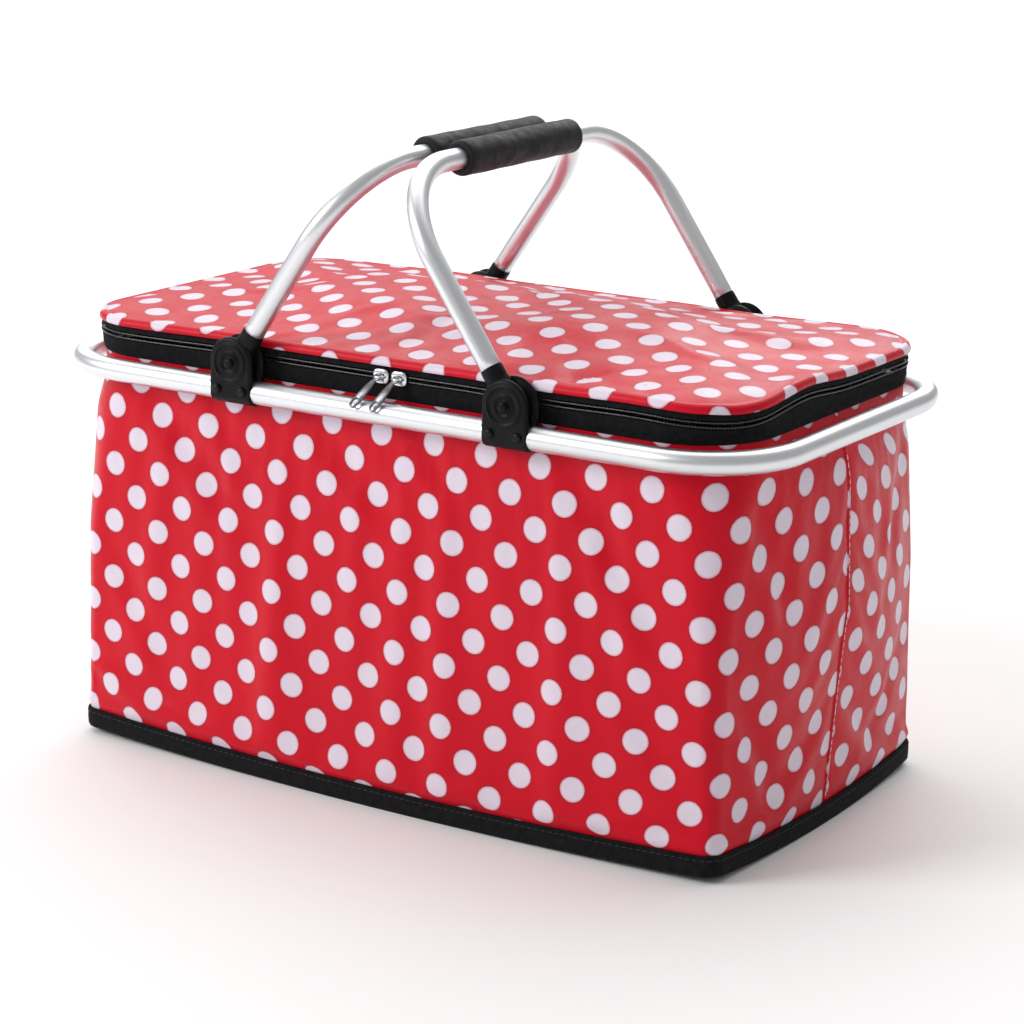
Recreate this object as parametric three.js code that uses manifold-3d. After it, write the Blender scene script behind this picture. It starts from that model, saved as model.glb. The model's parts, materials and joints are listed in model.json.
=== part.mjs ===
// Insulated cooler bag on a folding aluminium frame.
// Millimetres. The origin is the middle of the base, +X runs along the bag, -Y is the front and +Z is up.

import * as THREE from 'three';
import { mergeVertices } from 'three/addons/utils/BufferGeometryUtils.js';
import Module from 'manifold-3d';

const wasm = await Module();
wasm.setup();

// ---------------------------------------------------------------- driving dimensions

const GAP = 0.3; // clearance kept between neighbouring pieces

// rim frame: a round tube bent to a rounded rectangle, in four lengths that meet inside the brackets
const RIM = { halfX: 233.5, halfY: 124.5, bend: 54, z: 228.5, radius: 6.5, wall: 1 };

// brackets: four moulded clamps, each holding two rim tube ends and one handle knuckle
const BRACKET = { x: 91.5, pivotZ: 245, discRadius: 14.5, bottomZ: 220.5, halfThick: 8 };
const SLOT_HALF = 4.7;
const BORE_RADIUS = 6.8;
const PIN = { radius: 2.5, holeRadius: 2.85, headRadius: 3, headTop: 9.4, innerEnd: 7.7 };
const SCREW = { x: 8.8, z: 229.5, radius: 1.45, holeRadius: 1.8, headRadius: 2.8, headTop: 9.6, tip: 4.6 };

// handles: two bails that lean together over the lid
const HANDLE = { reach: 140, bend: 54, radius: 6, wall: 1, topX: 11.4 };
const LEAN = Math.asin((BRACKET.x - HANDLE.topX) / HANDLE.reach);
const GRIP = { radius: 10, bore: 6.3, halfLength: 57, round: 2.5 };
const KNUCKLE = { tangRadius: 9, tangHalf: 4.4, sleeveRadius: 6.3, sleeveFrom: 15.4, sleeveTo: 22,
  spigotRadius: 4.3, spigotTo: 40 };

// bag body: outline half sizes, corner radius, and how far the middles of the sides and of the front
// and back stand out, at each height of the wall
const WALL = [
  { z: 0, x: 216.5, y: 117, r: 8, sideBelly: 2, frontBelly: 2 },
  { z: 13, x: 216.5, y: 117, r: 8, sideBelly: 2, frontBelly: 2 },
  { z: 130, x: 217, y: 117, r: 14, sideBelly: 14, frontBelly: 4 },
  { z: 200, x: 219.5, y: 116, r: 32, sideBelly: 9, frontBelly: 2 },
  { z: 222, x: 220.2, y: 115.6, r: 46, sideBelly: 4, frontBelly: 0 },
  { z: 236, x: 220, y: 115.4, r: 47, sideBelly: 0, frontBelly: 0 },
  { z: 256, x: 219.9, y: 115.3, r: 47, sideBelly: 0, frontBelly: 0 },
];
const SHELL_THICK = 1;
const FOAM_THICK = 4;
const LINING_THICK = 0.5;
const SHELL_TOP = 221.7;
const FOAM_TOP = 236;
const LINING_TOP = 238;
const COLLAR = { from: 222, to: 239.3, thick: 1.2 };
const TRIM = { inset: -1.9, thick: 1.3, height: 12 };
const FLOOR = { panel: 1, board: 2, foam: 5, panelInset: 0.7, play: 0.1 };
const WELT = { halfWidth: 3, thick: 0.9, from: 13, to: 219 };

// zip: two tapes and two rows of teeth round the front and the sides, with a cloth hinge at the back
const ZIP = { backX: 150, tapeThick: 0.8, toothOut: 0.9, toothIn: 1.3 };
const BODY_TAPE = [239.6, 244.7];
const BODY_TEETH = [245, 246.6];
const LID_TEETH = [247.6, 249.2];
const LID_TAPE = [249.5, 252.5];
const ZIP_MIDDLE_Z = (BODY_TEETH[1] + LID_TEETH[0]) / 2;
const HINGE_STRIP_TOP = 252.3;
const HINGE_STRIP_HALF = ZIP.backX - 2;
const SLIDER = { halfLength: 5.2, halfHeight: 4.2, frontThick: 1.2, rearThick: 1, webHalf: 0.3,
  webHalfLength: 1.5, barRadius: 0.8, barOut: 5, postX: 2.4, postHalf: 0.5 };
const SLIDERS = [{ side: 'left', x: 2 }, { side: 'right', x: 14 }];
const PULL = { length: 20, halfWidth: 2.75, halfThick: 0.5, eyeInner: 1.15, eyeOuter: 2.2,
  eyeHalf: 1.2, neckEnd: 4.5, holeRadius: 1.4, holeLength: 5 };

// lid: a padded panel, crowned in the middle
const PIPING = { from: 252.8, to: 255.3, out: 0.7, in: 1.8 };
const LID = { coverFrom: 255.6, crownZ: 268, coverThick: 0.9, liningZ: 252.6, inset: 2.3, crownPower: 2.2 };
const LID_RINGS = [1, 0.965, 0.88, 0.7, 0.45, 0.2];

const ARC_STEPS = 5; // steps round each corner of the bag
const SIDE_STEPS = 4; // parts each half side of the bag is divided into
const BEND_STEPS = 8; // steps round each bend of a tube
const TUBE_SIDES = 12;
const PLATE_CURVE_STEPS = 14; // steps along each arc of a bracket's face
const BORE_SIDES = 8;

// ---------------------------------------------------------------- materials

const finish = (color, roughness, metalness = 0) => ({ color, roughness, metalness });
const FINISHES = {
  dotted_cloth: finish(0xc2122a, 0.35),
  black_binding: finish(0x17171a, 0.8),
  foam_pad: finish(0xe8e8e4, 0.9),
  board: finish(0xd9d9d4, 0.6),
  foil_lining: finish(0xc9ccd0, 0.3, 0.6),
  zip_tape: finish(0x151517, 0.85),
  zip_teeth: finish(0x1d1d20, 0.5),
  red_hem: finish(0xb01026, 0.5),
  tube: finish(0xc9cbce, 0.3, 0.9),
  black_plastic: finish(0x1b1b1e, 0.45),
  grip_foam: finish(0x1a1a1c, 0.85),
  screw_steel: finish(0x8f9296, 0.35, 0.9),
  slider_metal: finish(0xb9bbbe, 0.25, 0.9),
  pull_metal: finish(0x6d6f73, 0.35, 0.9),
};

const model = new THREE.Group();

function addPiece(parent, name, geometry, finishName) {
  const mesh = new THREE.Mesh(geometry, new THREE.MeshStandardMaterial(FINISHES[finishName]));
  mesh.name = name;
  parent.add(mesh);
  return mesh;
}

// ---------------------------------------------------------------- outlines of the bag

/** The points that divide a straight run into equal parts, without its ends. */
function between(from, to) {
  const parts = Array.from({ length: SIDE_STEPS - 1 }, (_, i) => (i + 1) / SIDE_STEPS);
  return parts.map((t) => from.clone().lerp(to, t));
}

/** A rounded rectangle with bowed sides, counter-clockwise from the middle of its right side. */
function outline({ x, y, r, sideBelly = 0, frontBelly = 0 }) {
  const middles = [[x, 0], [0, y], [-x, 0], [0, -y]].map(([u, v]) => new THREE.Vector2(u, v));
  const signs = [[1, 1], [-1, 1], [-1, -1], [1, -1]];
  const points = [];
  signs.forEach(([signX, signY], quarter) => {
    const arc = [];
    for (let step = 0; step <= ARC_STEPS; step++) {
      const angle = (quarter + step / ARC_STEPS) * Math.PI / 2;
      const centreX = signX * (x - r);
      const centreY = signY * (y - r);
      arc.push(new THREE.Vector2(centreX + r * Math.cos(angle), centreY + r * Math.sin(angle)));
    }
    const nextMiddle = middles[(quarter + 1) % middles.length];
    points.push(middles[quarter], ...between(middles[quarter], arc[0]));
    points.push(...arc, ...between(arc[ARC_STEPS], nextMiddle));
  });
  const bow = (part, whole) => Math.max(1 - (part / whole) ** 2, 0);
  return points.map((p) => new THREE.Vector2(
    p.x + p.x / x * sideBelly * bow(p.y, y - r),
    p.y + p.y / y * frontBelly * bow(p.x, x - r),
  ));
}

/** The size of the wall's outline at a height, moved inward by inset. */
function wallSize(z, inset = 0) {
  const upper = WALL.findIndex((level) => level.z >= z);
  const above = WALL[Math.max(upper, 1)];
  const below = WALL[Math.max(upper, 1) - 1];
  const t = (z - below.z) / (above.z - below.z);
  const at = (key) => THREE.MathUtils.lerp(below[key], above[key], t);
  return {
    x: at('x') - inset,
    y: at('y') - inset,
    r: Math.max(at('r') - inset, 1),
    sideBelly: at('sideBelly'),
    frontBelly: at('frontBelly'),
  };
}

/** The heights from one to another with every height between them where the wall changes its slope. */
function wallHeights(from, to) {
  const between = WALL.map((level) => level.z).filter((z) => z > from && z < to);
  return [from, ...between, to];
}

/** The front or back half of an outline, cut a little short of the side seams. */
function halfOutline(size, half) {
  const points = outline(size);
  const sideMiddle = points.length / 2;
  const open = half === 'back'
    ? points.slice(0, sideMiddle + 1)
    : [...points.slice(sideMiddle), points[0].clone()];
  const seam = (half === 'back' ? 0.5 : -0.5) * GAP;
  open[0].y = seam;
  open[open.length - 1].y = seam;
  return open;
}

/** The zip's route: round the whole outline except the middle of the back. */
function zipOutline(size) {
  const points = outline(size);
  const backMiddle = points.length / 4;
  const round = [...points.slice(backMiddle + 1), ...points.slice(0, backMiddle)];
  return [
    new THREE.Vector2(-ZIP.backX, size.y),
    ...round.filter((p) => p.y < 0 || Math.abs(p.x) > ZIP.backX),
    new THREE.Vector2(ZIP.backX, size.y),
  ];
}

// ---------------------------------------------------------------- solids

function indexed(positions, indices) {
  const geometry = new THREE.BufferGeometry();
  geometry.setAttribute('position', new THREE.Float32BufferAttribute(positions, 3));
  geometry.setIndex(indices);
  geometry.computeVertexNormals();
  return geometry;
}

/**
 * A solid through closed rings of equal point counts, capped at the first and the last ring. Its quads are
 * split along the same diagonals going up and coming down, so a thin bowed wall's two faces stay parallel.
 */
function stack(rings) {
  const count = rings[0].points.length;
  const positions = rings.flatMap(({ points, z }) => points.flatMap((p) => [p.x, p.y, z]));
  const indices = [];
  for (let ring = 0; ring < rings.length - 1; ring++) {
    for (let i = 0; i < count; i++) {
      const a = ring * count + i;
      const b = ring * count + (i + 1) % count;
      const rises = rings[ring + 1].z >= rings[ring].z;
      if (rises) indices.push(a, b, b + count, a, b + count, a + count);
      else indices.push(a, b, a + count, b, b + count, a + count);
    }
  }
  const top = (rings.length - 1) * count;
  const cap = (ring) => THREE.ShapeUtils.triangulateShape(ring.points, []);
  cap(rings[0]).forEach(([a, b, c]) => indices.push(a, c, b));
  cap(rings.at(-1)).forEach(([a, b, c]) => indices.push(top + a, top + b, top + c));
  return indexed(positions, indices);
}

/** An upright band: outer and inner routes at each height, either closed or open at its two ends. */
function band(levels, closed) {
  const count = levels[0].outer.length;
  const positions = levels.flatMap(({ outer, inner, z }) =>
    [...outer, ...inner].flatMap((p) => [p.x, p.y, z]));
  const out = (level, i) => level * 2 * count + i % count;
  const inn = (level, i) => out(level, i) + count;
  const indices = [];
  const quad = (a, b, c, d) => indices.push(a, b, c, a, c, d);
  const last = levels.length - 1;
  const steps = closed ? count : count - 1;
  for (let i = 0; i < steps; i++) {
    for (let k = 0; k < last; k++) {
      quad(out(k, i), out(k, i + 1), out(k + 1, i + 1), out(k + 1, i));
      quad(inn(k, i), inn(k + 1, i), inn(k + 1, i + 1), inn(k, i + 1));
    }
    quad(out(0, i), inn(0, i), inn(0, i + 1), out(0, i + 1));
    quad(out(last, i), out(last, i + 1), inn(last, i + 1), inn(last, i));
  }
  if (!closed) {
    const end = count - 1;
    for (let k = 0; k < last; k++) {
      quad(out(k, 0), out(k + 1, 0), inn(k + 1, 0), inn(k, 0));
      quad(out(k, end), inn(k, end), inn(k + 1, end), out(k + 1, end));
    }
  }
  return indexed(positions, indices);
}

/** A band whose faces lie between two insets of the wall, along a route. */
function wallBand(heights, insetOut, insetIn, route, closed) {
  const levels = heights.map((z) => ({
    z,
    outer: route(wallSize(z, insetOut)),
    inner: route(wallSize(z, insetIn)),
  }));
  return band(levels, closed);
}

/** A box, given its middle and its half sizes. */
function block(middle, half) {
  return new THREE.BoxGeometry(...half.map((value) => 2 * value)).translate(...middle);
}

/** A cylinder along 'x', 'y' or 'z' between two positions on that axis. */
function rod(axis, radius, from, to, sides = TUBE_SIDES) {
  const geometry = new THREE.CylinderGeometry(radius, radius, to - from, sides);
  geometry.rotateY(Math.PI / sides);
  geometry.translate(0, (from + to) / 2, 0);
  if (axis === 'x') geometry.rotateZ(-Math.PI / 2);
  if (axis === 'z') geometry.rotateX(Math.PI / 2);
  return geometry;
}

/** A closed mesh as a solid that can be cut and joined. */
function solid(geometry) {
  const bare = geometry.clone();
  bare.deleteAttribute('normal');
  bare.deleteAttribute('uv');
  const merged = mergeVertices(bare, 1e-4);
  const mesh = new wasm.Mesh({
    numProp: 3,
    vertProperties: new Float32Array(merged.attributes.position.array),
    triVerts: new Uint32Array(merged.index.array),
  });
  mesh.merge();
  return new wasm.Manifold(mesh);
}

function meshOf(body) {
  const { vertProperties, triVerts } = body.getMesh();
  return indexed(Array.from(vertProperties), Array.from(triVerts));
}

const joined = (...geometries) => geometries.map(solid).reduce((a, b) => a.add(b));
const cut = (body, ...geometries) => geometries.map(solid).reduce((a, b) => a.subtract(b), body);

// ---------------------------------------------------------------- tubes

/** A route of straights and bends, where each straight is one step. */
class TubeRoute extends THREE.Curve {
  constructor(stations) {
    super();
    this.stations = stations;
  }

  stationAt(u) {
    return this.stations[Math.round(u * (this.stations.length - 1))];
  }

  getPointAt(u, target = new THREE.Vector3()) {
    return target.copy(this.stationAt(u).point);
  }

  getTangentAt(u, target = new THREE.Vector3()) {
    return target.copy(this.stationAt(u).tangent);
  }
}

/** Stations of a U in the (across, along) plane: a leg, a bend, a straight back, and their mirror images. */
function uRoute(legStart, reach, halfWidth, bend, place) {
  const stations = [];
  const add = (along, across, angle) => stations.push({
    point: place(along, across),
    tangent: place(Math.cos(angle), Math.sin(angle)).sub(place(0, 0)).normalize(),
  });
  add(legStart, -halfWidth, 0);
  for (const [centre, from] of [[-(halfWidth - bend), 0], [halfWidth - bend, Math.PI / 2]]) {
    for (let step = 0; step <= BEND_STEPS; step++) {
      const angle = from + step / BEND_STEPS * Math.PI / 2;
      add(reach - bend + bend * Math.sin(angle), centre - bend * Math.cos(angle), angle);
    }
  }
  add(legStart, halfWidth, Math.PI);
  return new TubeRoute(stations);
}

function tubeSection(radius, wall) {
  const section = new THREE.Shape(circle(radius, TUBE_SIDES));
  section.holes.push(new THREE.Path(circle(radius - wall, BORE_SIDES)));
  return section;
}

function circle(radius, sides) {
  return Array.from({ length: sides }, (_, i) => {
    const angle = i / sides * 2 * Math.PI;
    return new THREE.Vector2(radius * Math.cos(angle), radius * Math.sin(angle));
  });
}

function bentTube(route, radius, wall) {
  return new THREE.ExtrudeGeometry(tubeSection(radius, wall), {
    steps: route.stations.length - 1,
    extrudePath: route,
    bevelEnabled: false,
  });
}

// ---------------------------------------------------------------- base and walls

function addBase(parent) {
  const floorInset = SHELL_THICK + GAP + FOAM_THICK + GAP + FLOOR.play;
  const slab = (from, to, inset) => {
    const points = outline(wallSize(0, inset));
    return stack([from, to].map((z) => ({ points, z })));
  };
  const boardFrom = FLOOR.panel + GAP;
  const foamFrom = boardFrom + FLOOR.board + GAP;
  const liningFrom = foamFrom + FLOOR.foam + GAP;
  addPiece(parent, 'floor_panel', slab(0, FLOOR.panel, FLOOR.panelInset), 'black_binding');
  addPiece(parent, 'base_board', slab(boardFrom, boardFrom + FLOOR.board, floorInset), 'board');
  addPiece(parent, 'floor_foam', slab(foamFrom, foamFrom + FLOOR.foam, floorInset), 'foam_pad');
  addPiece(parent, 'base_trim', baseTrim(), 'black_binding');
  for (const half of ['front', 'back']) {
    const route = (size) => halfOutline(size, half);
    const shell = wallBand(wallHeights(boardFrom, SHELL_TOP), 0, SHELL_THICK, route, false);
    const foamOut = SHELL_THICK + GAP;
    const foamIn = foamOut + FOAM_THICK;
    const foam = wallBand(wallHeights(boardFrom, FOAM_TOP), foamOut, foamIn, route, false);
    addPiece(parent, `shell_${half}`, shell, 'dotted_cloth');
    addPiece(parent, `foam_${half}`, foam, 'foam_pad');
  }
  addPiece(parent, 'lining_tub', liningTub(liningFrom), 'foil_lining');
  for (const [side, sign] of [['left', -1], ['right', 1]]) {
    addPiece(parent, `seam_welt_${side}`, seamWelt(sign), 'dotted_cloth');
  }
}

function baseTrim() {
  const size = (inset) => outline(wallSize(0, inset));
  const levels = [0, TRIM.height].map((z) => ({
    z,
    outer: size(TRIM.inset),
    inner: size(TRIM.inset + TRIM.thick),
  }));
  return band(levels, true);
}

/** The foil lining: a tub with a floor, open at the top. */
function liningTub(floorZ) {
  const outside = SHELL_THICK + GAP + FOAM_THICK + GAP;
  const inside = outside + LINING_THICK;
  const heights = wallHeights(floorZ, LINING_TOP);
  const ring = (z, inset, at = z) => ({ points: outline(wallSize(at, inset)), z });
  return stack([
    ...heights.map((z) => ring(z, outside)),
    ...heights.slice(1).reverse().map((z) => ring(z, inside)),
    ring(floorZ + LINING_THICK, inside, floorZ),
  ]);
}

/** The folded seam allowance that covers the joint between the front and back shells. */
function seamWelt(sign) {
  const face = (z) => wallSize(z).x + wallSize(z).sideBelly + GAP;
  const levels = wallHeights(WELT.from, WELT.to).map((z) => {
    const row = (x) => [-1, 1].map((end) => new THREE.Vector2(sign * x, sign * end * WELT.halfWidth));
    return { z, outer: row(face(z) + WELT.thick), inner: row(face(z)) };
  });
  return band(levels, false);
}

// ---------------------------------------------------------------- frame

function addRim(parent) {
  const legStart = BRACKET.x + GAP / 2;
  for (const [side, sign] of [['left', -1], ['right', 1]]) {
    const place = (along, across) => new THREE.Vector3(sign * along, sign * across, RIM.z);
    const route = uRoute(legStart, RIM.halfX, RIM.halfY, RIM.bend, place);
    const tube = solid(bentTube(route, RIM.radius, RIM.wall));
    const holes = [-1, 1].map((end) => screwHole(sign * (BRACKET.x + SCREW.x), end));
    addPiece(parent, `rim_tube_${side}`, meshOf(cut(tube, ...holes)), 'tube');
  }
  for (const [side, sign] of [['front', -1], ['back', 1]]) {
    const tangent = new THREE.Vector3(1, 0, 0);
    const end = (x) => ({ point: new THREE.Vector3(x, sign * RIM.halfY, RIM.z), tangent });
    const half = BRACKET.x - GAP / 2;
    const tube = solid(bentTube(new TubeRoute([end(-half), end(half)]), RIM.radius, RIM.wall));
    const holes = [-1, 1].map((way) => screwHole(way * (BRACKET.x - SCREW.x), sign));
    addPiece(parent, `rim_tube_${side}`, meshOf(cut(tube, ...holes)), 'tube');
  }
}

/** The clearance hole of one bracket screw through the outer wall of a rim tube. */
function screwHole(x, sign) {
  const hole = rod('y', SCREW.holeRadius, 3, BRACKET.halfThick + 2, BORE_SIDES);
  if (sign < 0) hole.rotateZ(Math.PI);
  return hole.translate(x, sign * RIM.halfY, SCREW.z);
}

/** Two halves of a bracket, with y measured from the middle of the tube and the outer side at -y. */
function bracketHalves() {
  const { discRadius: width, pivotZ, bottomZ, halfThick } = BRACKET;
  const face = new THREE.Shape();
  face.moveTo(-width, bottomZ);
  face.lineTo(width, bottomZ);
  face.absarc(0, pivotZ, width, 0, Math.PI, false);
  const plateOptions = { depth: 2 * halfThick, bevelEnabled: false, curveSegments: PLATE_CURVE_STEPS };
  const plate = new THREE.ExtrudeGeometry(face, plateOptions);
  plate.rotateX(Math.PI / 2).translate(0, halfThick, 0);

  const end = new THREE.Shape();
  end.moveTo(halfThick, pivotZ + width + 1);
  end.lineTo(-halfThick, pivotZ + width + 1);
  end.absarc(0, RIM.z, halfThick, Math.PI, 2 * Math.PI, false);
  const sweep = { depth: 4 * width, bevelEnabled: false, curveSegments: TUBE_SIDES };
  const bullet = new THREE.ExtrudeGeometry(end, sweep);
  bullet.rotateX(Math.PI / 2).rotateZ(Math.PI / 2).translate(-2 * width, 0, 0);

  const slotTop = pivotZ + width + 2;
  const slot = block([0, 0, (RIM.z + slotTop) / 2], [width + 2, SLOT_HALF, (slotTop - RIM.z) / 2]);
  const bore = rod('x', BORE_RADIUS, -width - 2, width + 2, 16).translate(0, 0, RIM.z);
  const pinHole = rod('y', PIN.holeRadius, -halfThick - 2, halfThick + 2).translate(0, 0, pivotZ);
  const screwHoles = [-1, 1].map((side) =>
    rod('y', SCREW.holeRadius, -halfThick - 2, -3, BORE_SIDES).translate(side * SCREW.x, 0, SCREW.z));
  const whole = cut(solid(plate).intersect(solid(bullet)), slot, bore, pinHole, ...screwHoles);

  const side = (sign) => block([0, sign * (20 + GAP / 2), 240], [30, 20, 40]);
  return { outer: meshOf(whole.intersect(solid(side(-1)))), inner: meshOf(whole.intersect(solid(side(1)))) };
}

/** A round piece turned about the y axis; stations are [y, radius], from its outer end inward. */
function turned(stations, sides) {
  const profile = [[stations[0][0], 0], ...stations, [stations.at(-1)[0], 0]];
  return new THREE.LatheGeometry(profile.map(([y, radius]) => new THREE.Vector2(radius, y)), sides);
}

function pivotPin() {
  const face = BRACKET.halfThick + GAP;
  return turned([
    [-PIN.headTop, PIN.headRadius * 0.7],
    [-face - 0.5, PIN.headRadius],
    [-face, PIN.headRadius],
    [-face, PIN.radius],
    [PIN.innerEnd, PIN.radius],
  ], TUBE_SIDES);
}

function bracketScrew() {
  const face = BRACKET.halfThick + GAP;
  return turned([
    [-SCREW.headTop, SCREW.headRadius * 0.65],
    [-face - 0.5, SCREW.headRadius],
    [-face, SCREW.headRadius],
    [-face, SCREW.radius],
    [-SCREW.tip, SCREW.radius],
  ], BORE_SIDES);
}

function addBrackets(parent) {
  const halves = bracketHalves();
  for (const [row, signY] of [['front', -1], ['back', 1]]) {
    for (const [side, signX] of [['left', -1], ['right', 1]]) {
      const group = new THREE.Group();
      group.position.set(signX * BRACKET.x, signY * RIM.halfY, 0);
      group.rotation.z = signY > 0 ? Math.PI : 0;
      parent.add(group);
      const name = `${row}_${side}`;
      addPiece(group, `bracket_outer_${name}`, halves.outer, 'black_plastic');
      addPiece(group, `bracket_inner_${name}`, halves.inner, 'black_plastic');
      addPiece(group, `pivot_pin_${name}`, pivotPin(), 'black_plastic').position.z = BRACKET.pivotZ;
      for (const [label, end] of [['a', -1], ['b', 1]]) {
        const screw = addPiece(group, `bracket_screw_${name}_${label}`, bracketScrew(), 'screw_steel');
        screw.position.set(end * SCREW.x, 0, SCREW.z);
      }
    }
  }
}

function addCollar(parent) {
  const heights = wallHeights(COLLAR.from, COLLAR.to);
  addPiece(parent, 'collar_band', wallBand(heights, 0, COLLAR.thick, outline, true), 'dotted_cloth');
  addPiece(parent, 'body_zip_tape', wallBand(BODY_TAPE, 0, ZIP.tapeThick, zipOutline, false), 'zip_tape');
  addPiece(parent, 'body_zip_teeth', wallBand(BODY_TEETH, -ZIP.toothOut, ZIP.toothIn, zipOutline, false),
    'zip_teeth');
  const middle = (BODY_TAPE[0] + HINGE_STRIP_TOP) / 2;
  const strip = block(
    [0, wallSize(middle).y - ZIP.tapeThick / 2, middle],
    [HINGE_STRIP_HALF, ZIP.tapeThick / 2, (HINGE_STRIP_TOP - BODY_TAPE[0]) / 2],
  );
  addPiece(parent, 'back_hinge_strip', strip, 'zip_tape');
}

// ---------------------------------------------------------------- handles

/** A knuckle: a tang that turns in the bracket, a sleeve and a spigot inside the handle tube. */
function knuckle() {
  const { tangRadius, tangHalf, sleeveRadius, sleeveFrom, sleeveTo, spigotRadius, spigotTo } = KNUCKLE;
  const body = joined(
    rod('y', tangRadius, -tangHalf, tangHalf, 16),
    block([0, 0, sleeveFrom / 2 + 0.5], [sleeveRadius, tangHalf, sleeveFrom / 2 + 0.5]),
    rod('z', sleeveRadius, sleeveFrom, sleeveTo, 16),
    rod('z', spigotRadius, sleeveTo - 1, spigotTo, BORE_SIDES),
  );
  return meshOf(cut(body, rod('y', PIN.holeRadius, -tangHalf - 2, tangHalf + 2)));
}

function grip() {
  const { radius, bore, halfLength, round } = GRIP;
  const profile = [
    [bore, -halfLength],
    [radius - round, -halfLength],
    [radius, -halfLength + round],
    [radius, halfLength - round],
    [radius - round, halfLength],
    [bore, halfLength],
    [bore, -halfLength],
  ];
  return new THREE.LatheGeometry(profile.map(([r, y]) => new THREE.Vector2(r, y)), 16);
}

function addHandles(parent) {
  for (const [side, sign] of [['left', -1], ['right', 1]]) {
    const group = new THREE.Group();
    group.position.set(sign * BRACKET.x, 0, BRACKET.pivotZ);
    group.rotation.y = -sign * LEAN;
    parent.add(group);
    const place = (along, across) => new THREE.Vector3(0, across, along);
    const route = uRoute(KNUCKLE.sleeveTo + GAP, HANDLE.reach, RIM.halfY, HANDLE.bend, place);
    addPiece(group, `handle_tube_${side}`, bentTube(route, HANDLE.radius, HANDLE.wall), 'tube');
    addPiece(group, `handle_grip_${side}`, grip(), 'grip_foam').position.z = HANDLE.reach;
    for (const [row, signY] of [['front', -1], ['back', 1]]) {
      const piece = addPiece(group, `knuckle_${row}_${side}`, knuckle(), 'black_plastic');
      piece.position.y = signY * RIM.halfY;
    }
  }
}

// ---------------------------------------------------------------- lid

/** The lid's height above its edge at a fraction of the way out from its middle. */
const crown = (scale) => 1 - scale ** LID.crownPower;

function addLid(parent) {
  const edge = wallSize(LID.coverFrom);
  const rise = LID.crownZ - LID.coverFrom;
  const ring = (scale, inset, drop) => ({
    points: outline({ x: (edge.x - inset) * scale, y: (edge.y - inset) * scale, r: (edge.r - inset) * scale }),
    z: LID.coverFrom + rise * crown(scale) - drop,
  });
  const dome = LID_RINGS.map((scale) => ring(scale, 0, 0));
  const underside = LID_RINGS.slice(1).map((scale) => ring(scale, 0, LID.coverThick));
  const coverEdge = { points: outline({ x: edge.x - LID.inset, y: edge.y - LID.inset, r: edge.r - LID.inset }),
    z: LID.coverFrom };
  addPiece(parent, 'lid_cover', stack([...underside.reverse(), coverEdge, ...dome]), 'dotted_cloth');

  const foamDrop = LID.coverThick + GAP + 0.3;
  const foamTop = LID_RINGS.slice(1).map((scale) => ring(scale, LID.inset, foamDrop));
  const foamBottom = LID.liningZ + LINING_THICK + GAP;
  const padOutline = outline({ x: edge.x - LID.inset, y: edge.y - LID.inset, r: edge.r - LID.inset });
  const foamEdge = [foamBottom, LID.coverFrom - GAP].map((z) => ({ points: padOutline, z }));
  addPiece(parent, 'lid_foam', stack([...foamEdge, ...foamTop]), 'foam_pad');

  const lining = [LID.liningZ, LID.liningZ + LINING_THICK].map((z) => ({ points: padOutline, z }));
  addPiece(parent, 'lid_lining', stack(lining), 'foil_lining');
  const piping = wallBand([PIPING.from, PIPING.to], -PIPING.out, PIPING.in, outline, true);
  addPiece(parent, 'lid_piping', piping, 'red_hem');
  addPiece(parent, 'lid_zip_tape', wallBand(LID_TAPE, 0, ZIP.tapeThick, zipOutline, false), 'zip_tape');
  addPiece(parent, 'lid_zip_teeth', wallBand(LID_TEETH, -ZIP.toothOut, ZIP.toothIn, zipOutline, false),
    'zip_teeth');
}

// ---------------------------------------------------------------- sliders and pulls

const TOOTH_FRONT = -(wallSize(ZIP_MIDDLE_Z).y + ZIP.toothOut);
const TOOTH_REAR = -(wallSize(ZIP_MIDDLE_Z).y - ZIP.toothIn);
const BAR_Y = -wallSize(ZIP_MIDDLE_Z).y - SLIDER.barOut;

/** A zip slider: plates before and behind the teeth, a web between them and a bar for the pull. */
function sliderBody() {
  const frontFrom = TOOTH_FRONT - GAP - SLIDER.frontThick;
  const rearTo = TOOTH_REAR + GAP + SLIDER.rearThick;
  const plate = (from, thick) => block(
    [0, from + thick / 2, 0],
    [SLIDER.halfLength, thick / 2, SLIDER.halfHeight],
  );
  const webHalfY = (rearTo - frontFrom) / 2;
  const post = (side) => {
    const halfY = (frontFrom + 0.4 - BAR_Y) / 2;
    return block([side * SLIDER.postX, BAR_Y + halfY, 0], [SLIDER.postHalf, halfY, SLIDER.barRadius]);
  };
  const barEnd = SLIDER.postX + SLIDER.postHalf;
  return meshOf(joined(
    plate(frontFrom, SLIDER.frontThick),
    plate(rearTo - SLIDER.rearThick, SLIDER.rearThick),
    block([0, (frontFrom + rearTo) / 2, 0], [SLIDER.webHalfLength, webHalfY, SLIDER.webHalf]),
    post(-1),
    post(1),
    rod('x', SLIDER.barRadius, -barEnd, barEnd, 10).translate(0, BAR_Y, 0),
  ));
}

/** How far below the horizontal a pull points when it rests on the rim tube. */
function pullDrop() {
  const out = RIM.halfY + BAR_Y;
  const down = ZIP_MIDDLE_Z - RIM.z;
  const clear = RIM.radius + GAP + PULL.halfThick;
  return Math.atan2(down, out) - Math.asin(clear / Math.hypot(out, down));
}

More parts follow.
